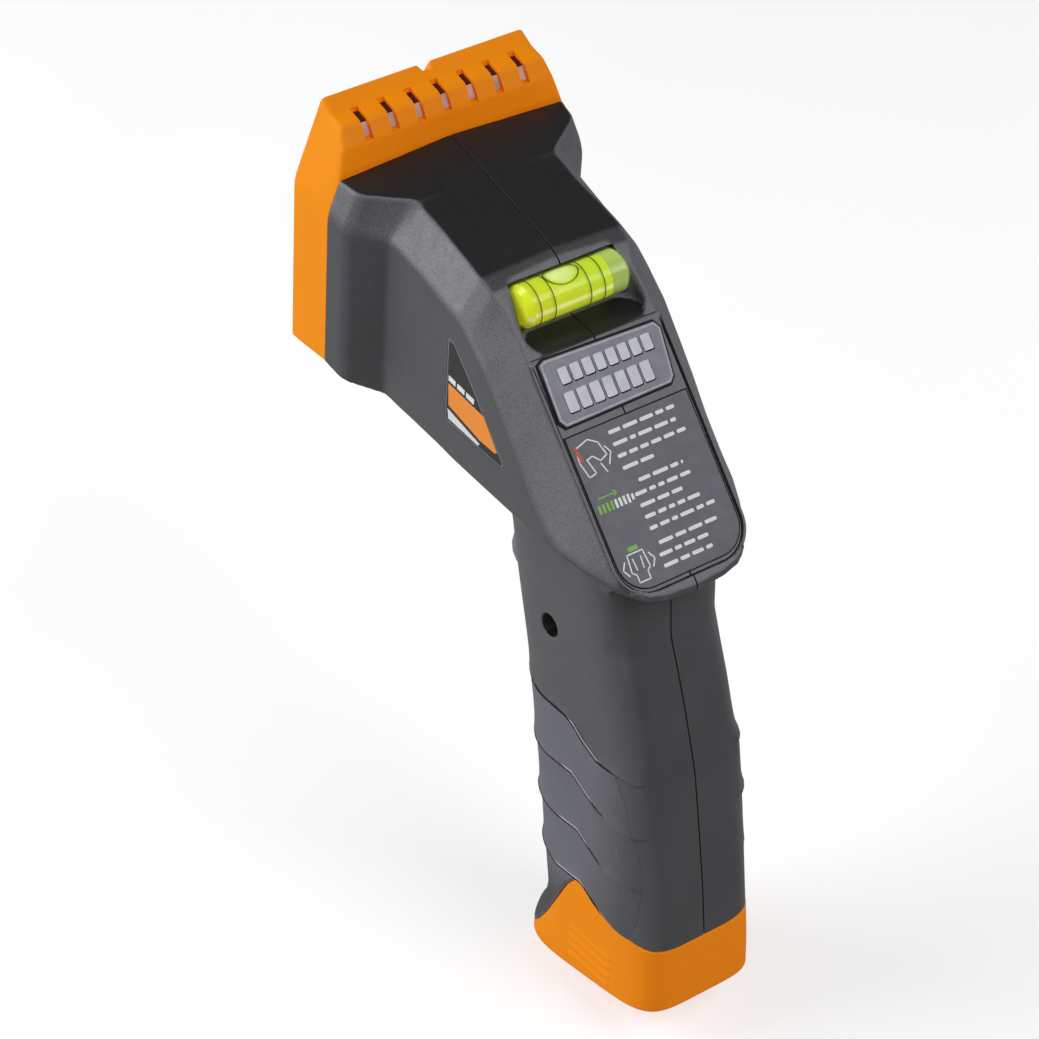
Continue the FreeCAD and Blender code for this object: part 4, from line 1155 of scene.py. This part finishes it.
def add_plates(name, outlines, place, low, high, material, bevel=0.0, replaces=()):
    """Flat plates between two heights; place(u, v, height) gives millimetres."""
    bm = bmesh.new()
    tops = set()
    for outline in outlines:
        base = [bm.verts.new(Vector(place(u, v, low)) * MM) for u, v in outline]
        top = [bm.verts.new(Vector(place(u, v, high)) * MM) for u, v in outline]
        bm.faces.new(base[::-1])
        bm.faces.new(top)
        count = len(outline)
        for i in range(count):
            j = (i + 1) % count
            bm.faces.new((base[i], base[j], top[j], top[i]))
        tops.update(top)
    bmesh.ops.recalc_face_normals(bm, faces=bm.faces)
    if bevel:
        edges = [edge for edge in bm.edges if all(vert in tops for vert in edge.verts)]
        bmesh.ops.bevel(bm, geom=edges, offset=bevel * MM, segments=3, affect="EDGES",
                        profile=0.5)
    add_piece(finish_mesh(name, bm, smooth=False), material, replaces=replaces)


# ------------------------------------------------------------------ rear panel
# Outlines on the panel are x, distance down it; heights are out of it.

BADGE = [(-14.6, 0.1), (15.2, 1.1), (16.4, 2.8), (14.9, 13.9), (13.6, 15.2), (-15.4, 15.5),
         (-16.6, 13.8), (-16.1, 0.9)]
# painted shadow: a dark plate in the gap round the badge
add_plates("badge_gap_shadow", [grow(BADGE, 0.55)], on_panel, -0.5, -0.30, "groove_shadow")
add_plates("badge_rim", [BADGE], on_panel, -0.4, 0.35, "badge_rim", bevel=0.25,
           replaces=["badge_plate"])
add_plates("badge_face", [grow(BADGE, -0.7)], on_panel, 0.3, 0.42, "badge_metallic", bevel=0.05)


def add_panel_bead(name, half_width, length, corner, height, start, radius, material):
    """Bead down one side of the panel, round its lower end and back up the other."""
    half = [(half_width, s) for s in np.arange(start, length - corner, 1.0)]
    half += corner_arc(half_width - corner, length - corner, corner, 0, 13)
    outline = half + [(-x, s) for x, s in half[::-1]]
    path = np.array([on_panel(x, s, height) for x, s in outline], float)
    out = np.array((0.0, -PANEL_SIN, PANEL_COS))
    rings = []
    for i, (point, along) in enumerate(zip(path, unit(np.gradient(path, axis=0)))):
        across = unit(np.cross(along, out))
        taper = min(1.0, 0.15 + min(i, len(path) - 1 - i) * 0.3)
        rings.append(ring(point, radius * taper, across, np.cross(across, along)))
    bm = bmesh.new()
    add_tube(bm, rings)
    add_bead_object(name, bm, material)


add_panel_bead("panel_edge_line", half_width=17.95, length=56.6, corner=8.7, height=-0.06,
               start=0.2, radius=0.34, material="shell_plastic")
# painted shadow: a dark bead along the inner edge of the panel recess
add_panel_bead("panel_edge_shadow", half_width=17.42, length=56.07, corner=8.2, height=-0.30,
               start=0.6, radius=0.20, material="groove_shadow")

LABEL_X, LABEL_TOP, LABEL_END, LABEL_CORNER = 17.0, 17.5, 55.2, 7.4
LABEL = [(-LABEL_X, LABEL_TOP), (LABEL_X, LABEL_TOP)]
for side, start in ((1, 0), (-1, 90)):
    LABEL += corner_arc(side * (LABEL_X - LABEL_CORNER), LABEL_END - LABEL_CORNER,
                        LABEL_CORNER, start, 8)
# painted shadow: a dark plate in the groove round the label
add_plates("label_edge", [LABEL], on_panel, -0.48, -0.30, "groove_shadow")
add_plates("label_face", [grow(LABEL, -0.3)], on_panel, -0.40, -0.24, "label_film", bevel=0.05,
           replaces=["instruction_label"])

# Printed lines, shown as bars of random lengths: start x, end x, distance down the panel
TEXT_ROWS = [
    (-6.0, 12.2, 20.1), (-6.0, 11.4, 22.9), (-6.0, 12.8, 25.7), (-6.0, 3.6, 28.5),
    (-3.4, 9.0, 32.2), (-5.6, 11.0, 34.9), (-5.4, 7.6, 37.6), (-5.4, 10.4, 40.3),
    (-5.4, 13.4, 43.0), (-4.6, 12.6, 46.6), (-5.6, 9.2, 49.2), (-5.6, 8.4, 51.8),
]
# Little tool in side view, and the tool seen from above
TOOL_SIDE = [(-15.2, 20.6), (-11.6, 19.6), (-9.4, 21.0), (-8.4, 24.2), (-10.4, 25.0),
             (-12.0, 23.4), (-13.6, 23.8), (-12.6, 27.2), (-14.6, 27.6), (-15.6, 23.8)]
TOOL_TOP = [(-13.4, 46.4), (-9.2, 46.4), (-8.8, 50.4), (-9.8, 51.2), (-9.8, 53.0),
            (-12.8, 53.0), (-12.8, 51.2), (-13.8, 50.4)]


def label_marks():
    """White, green and red outlines printed on the label."""
    white, green = [], []
    rng = np.random.default_rng(7)
    for row_start, row_end, s in TEXT_ROWS:
        x = row_start
        while x < row_end - 0.6:
            end = min(x + float(rng.uniform(1.6, 4.2)), row_end)
            white.append(bar(x, end, s, 0.85, 0.3))
            x = end + 0.75
    white += stroke(TOOL_SIDE, 0.32, closed=True)
    white += stroke([(-8.2, 22.4), (-7.2, 24.0), (-8.6, 26.4)], 0.32)
    white += stroke([(-10.6, 25.6), (-9.8, 27.8)], 0.32)
    red = stroke([(-15.4, 20.4), (-14.9, 23.6)], 0.75)
    # row of indicator bars, the last one short, with an arrow above
    for i in range(9):
        x = -15.6 + i * 1.12
        mark = bar(x, x + 0.66, 35.0, 2.0 if i < 8 else 1.4, 0.1)
        (green if i < 4 else white).append(mark)
    green += stroke([(-14.6, 32.6), (-9.6, 32.6)], 0.3)
    green += stroke([(-10.5, 32.0), (-9.5, 32.6), (-10.5, 33.2)], 0.3)
    # tool from above between two arrows
    white += stroke(TOOL_TOP, 0.32, closed=True)
    white += stroke([(-12.4, 47.6), (-12.2, 50.2)], 0.3)
    white += stroke([(-10.2, 47.6), (-10.4, 50.2)], 0.3)
    white += stroke([(-14.6, 47.6), (-15.6, 49.2), (-14.6, 50.8)], 0.34)
    white += stroke([(-8.0, 47.6), (-7.0, 49.2), (-8.0, 50.8)], 0.34)
    green.append(bar(-12.6, -10.0, 45.4, 1.0, 0.2))
    return white, green, red


def badge_blocks():
    """Two rows of raised blocks: upper and lower edge, x limits, block width."""
    blocks = []
    for s0, s1, x, x_end, width in ((2.9, 6.6, -12.6, 13.0, 2.5), (8.4, 13.0, -13.4, 12.4, 2.7)):
        while x + width <= x_end + 0.01:
            blocks.append(round_rect(x, x + width, s0, s1, 0.4))
            x += width + 0.75
    return blocks


blocks = badge_blocks()
shadows = [[(u + 0.16, v + 0.22) for u, v in grow(block, 0.12)] for block in blocks]
add_plates("badge_block_shadows", shadows, on_panel, 0.40, 0.46, "groove_shadow")
add_plates("badge_blocks", blocks, on_panel, 0.42, 0.66, "badge_block")
white, green, red = label_marks()
add_plates("label_marks_white", white, on_panel, -0.30, -0.20, "ink_white")
add_plates("label_marks_green", green, on_panel, -0.30, -0.20, "ink_green")
add_plates("label_marks_red", red, on_panel, -0.30, -0.19, "ink_red")


# ------------------------------------------------------------------ left side label
# Outlines are y, z; heights are out of the left flank.

def on_left_side(y, z, out):
    return (-(SIDE_LABEL_X + out), y, z)


def side_mark(y0, y1):
    """Small slanted block between two y values."""
    def slant(y, z):
        return (y, z - 0.06 * (-48.9 - y))
    return [slant(y0, -15.0), slant(y1, -15.0), slant(y1, -16.45), slant(y0, -16.45)]


# painted shadow: a dark plate in the gap round the side label
add_plates("side_label_edge", [grow(SIDE_LABEL, 0.35)], on_left_side, -0.6, 0.02,
           "groove_shadow")
add_plates("side_label_bevel", [grow(SIDE_LABEL, -0.05)], on_left_side, -0.5, 0.06,
           "grip_rubber", bevel=0.03)
add_plates("side_label_face", [grow(SIDE_LABEL, -0.55)], on_left_side, -0.5, 0.10,
           "label_black", bevel=0.03, replaces=["side_label"])
SIDE_PATCH = [(-49.3, -23.2), (-61.6, -25.2), (-67.2, -25.0), (-67.9, -24.3), (-62.4, -17.9),
              (-48.9, -17.3)]
add_plates("side_label_patch", [SIDE_PATCH], on_left_side, 0.0, 0.15, "label_orange", bevel=0.03)
SIDE_STRIP = [(-49.0, -24.3), (-61.4, -26.2), (-61.0, -27.0), (-49.4, -26.9)]
add_plates("side_label_strip", [SIDE_STRIP], on_left_side, 0.0, 0.15, "label_white", bevel=0.03)
side_marks = [side_mark(*ends) for ends in ((-48.9, -51.6), (-52.2, -55.0), (-55.6, -58.6))]
add_plates("side_label_marks", side_marks, on_left_side, 0.05, 0.16, "label_white")


# ------------------------------------------------------------------ vial

def lathe(name, profile, material, replaces=(), segments=64):
    """Surface of revolution about the vial's axis; the profile is x, radius."""
    bm = bmesh.new()
    rings = []
    for x, radius in profile:
        turns = [2 * math.pi * i / segments for i in range(segments)] if radius else [0.0]
        rings.append([bm.verts.new(Vector((x, VIAL_Y + radius * math.cos(a),
                                           VIAL_Z + radius * math.sin(a))) * MM)
                      for a in turns])
    for a, b in zip(rings, rings[1:]):
        for i in range(segments):
            j = (i + 1) % segments
            if len(a) == 1:
                bm.faces.new((a[0], b[i], b[j]))
            elif len(b) == 1:
                bm.faces.new((a[i], b[0], a[j]))
            else:
                bm.faces.new((a[i], b[i], b[j], a[j]))
    bmesh.ops.remove_doubles(bm, verts=bm.verts, dist=1e-8)  # joins a closed profile
    bmesh.ops.recalc_face_normals(bm, faces=bm.faces)
    mesh = finish_mesh(name, bm)
    mesh.set_sharp_from_angle(angle=math.radians(30.0))
    add_piece(mesh, material, replaces=replaces)


lathe("vial_fluid_body", [(-13.9, 0), (-13.9, 3.9), (-12.6, 5.0), (8.7, 5.0), (8.7, 0)],
      "vial_liquid", replaces=["vial_fluid"])
lathe("vial_plug_body", [(8.8, 0), (8.8, 5.0), (12.8, 5.0), (13.9, 3.9), (13.9, 0)],
      "vial_plug", replaces=["vial_plug"])
lathe("vial_glass",
      [(-14.3, 0), (-14.3, 3.9), (-12.9, 5.4), (12.9, 5.4), (14.3, 3.9), (14.3, 0)],
      "vial_clear", replaces=["vial_tube"])
for i, x in enumerate((-11.2, -7.35, 2.35, 6.2)):
    x0, x1 = x - 0.11, x + 0.11
    lathe(f"vial_ring_{i + 1}", [(x0, 5.41), (x0, 5.49), (x1, 5.49), (x1, 5.41), (x0, 5.41)],
          "ink_black", replaces=["vial_lines"] if i == 0 else [], segments=72)

BUBBLE_X, BUBBLE_HALF_LENGTH = -2.5, 4.3


def bubble_point(along, across, radius):
    """Point of the bubble for unit coordinates, bent round the vial; also its angle."""
    angle = math.radians(2.0 + 36.0 * across)
    return Vector((BUBBLE_X + BUBBLE_HALF_LENGTH * along, VIAL_Y + radius * math.sin(angle),
                   VIAL_Z + radius * math.cos(angle))), angle


def add_bubble():
    bm = bmesh.new()
    bmesh.ops.create_icosphere(bm, subdivisions=4, radius=1.0)
    for vert in bm.verts:
        x, y, z = vert.co
        radius = 4.15 + math.copysign(abs(z) ** 0.3, z)
        vert.co = bubble_point(x, y, radius)[0] * MM
    add_piece(finish_mesh("vial_bubble_air", bm), "bubble_air", "bubble",
              replaces=["vial_bubble"])


def add_bubble_rim_shade():
    """Painted shade: a dark green line where the bubble's surface bends down into the fluid."""
    count = 96
    rings = []
    for i in range(count):
        a = 2 * math.pi * i / count
        point, angle = bubble_point(math.cos(a), math.sin(a), 5.06)
        out = Vector((0, math.sin(angle), math.cos(angle)))
        side = Vector((math.cos(a), math.sin(a) * math.cos(angle),
                       -math.sin(a) * math.sin(angle))).normalized()
        rings.append(ring(point, 0.16 + 0.05 * math.cos(2 * a), out, side))
    bm = bmesh.new()
    add_tube(bm, rings, closed=True)
    add_bead_object("vial_bubble_rim_shade", bm, "bubble_rim_shade", rides="bubble")


add_bubble()
add_bubble_rim_shade()

# ------------------------------------------------------------------ CAD parts shown as they are

CAD_MATERIALS = {
    "sensing_plate": "plate_plastic", "light_pipe": "light_pipe", "trigger_pin": "steel",
    "return_spring": "steel", "shell_screws": "steel", "board_screws": "steel",
    "sensor_board": "circuit_board", "main_board": "circuit_board",
    "switch_board": "circuit_board", "sensor_electrodes": "copper", "display_leds": "led_lens",
    "sensor_socket": "connector_plastic", "board_socket": "connector_plastic",
    "power_socket": "connector_plastic", "microcontroller": "chip_plastic",
    "buzzer": "chip_plastic", "flex_cable": "cable_film", "switch_body": "chip_plastic",
    "switch_plunger": "connector_plastic", "battery": "battery_wrap",
    "battery_terminals": "nickel", "battery_connector": "chip_plastic", "battery_pad": "foam",
    "red_lead": "red_insulation", "black_lead": "black_insulation",
}
for part, material in CAD_MATERIALS.items():
    assign(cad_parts[part], material)


# ------------------------------------------------------------------ studio (metres)

FLOOR_HALF, FLOOR_CELLS = 6, 24
FLOOR_DROP = 0.0004         # clearance below the lowest point
LIGHT_TARGET = Vector((0.0, -0.075, -0.07))
LIGHT_DISTANCE = 1.25


def add_floor():
    z = min(corner[2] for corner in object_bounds()) - FLOOR_DROP
    bm = bmesh.new()
    places = [-FLOOR_HALF + 2 * FLOOR_HALF * i / FLOOR_CELLS for i in range(FLOOR_CELLS + 1)]
    grid = [[bm.verts.new((x, y, z)) for y in places] for x in places]
    for i in range(FLOOR_CELLS):
        for j in range(FLOOR_CELLS):
            bm.faces.new((grid[i][j], grid[i + 1][j], grid[i + 1][j + 1], grid[i][j + 1]))
    floor = add_to_scene("studio_floor", finish_mesh("studio_floor", bm, smooth=False))
    studio_floor()
    assign(floor, "studio_floor")
    floor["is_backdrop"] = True


def add_world():
    world = bpy.data.worlds.new("studio")
    scene.world = world
    world.use_nodes = True
    background = world.node_tree.nodes["Background"]
    background.inputs["Color"].default_value = (0.92, 0.95, 1.0, 1)
    background.inputs["Strength"].default_value = 0.13


def add_area_light(name, direction, size, power):
    """Square light aimed at the target from a direction."""
    light = bpy.data.lights.new(name, "AREA")
    light.shape = "RECTANGLE"
    light.size = size
    light.size_y = size
    light.energy = power
    obj = add_to_scene(name, light)
    location = LIGHT_TARGET + Vector(direction).normalized() * LIGHT_DISTANCE
    obj.location = location
    obj.rotation_euler = (LIGHT_TARGET - location).to_track_quat("-Z", "Y").to_euler()
    obj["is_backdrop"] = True


def add_camera():
    """Long lens, looking down at the tool from behind and to the left."""
    data = bpy.data.cameras.new("photo_camera")
    camera = add_to_scene("photo_camera", data)
    # columns: right, up, back, location
    camera.matrix_world = Matrix((
        (0.80766, 0.34611, -0.47740, -0.4044),
        (-0.58750, 0.54164, -0.60124, -0.5551),
        (0.05048, 0.76607, 0.64078, 0.4724),
        (0, 0, 0, 1),
    ))
    data.lens = 124.63
    data.sensor_width = 36.0
    data.sensor_height = 36.0
    data.clip_start = 0.01
    scene.camera = camera
    camera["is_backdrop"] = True


add_floor()
add_world()
add_area_light("key", direction=(-0.74, 0.50, 0.45), size=0.9, power=16.0)
add_area_light("fill", direction=(0.25, -0.62, 0.74), size=0.8, power=9.2)
add_area_light("side", direction=(0.9, 0.3, 0.3), size=0.6, power=0.6)
add_camera()
scene.view_settings.view_transform = "Standard"
scene.view_settings.look = "None"
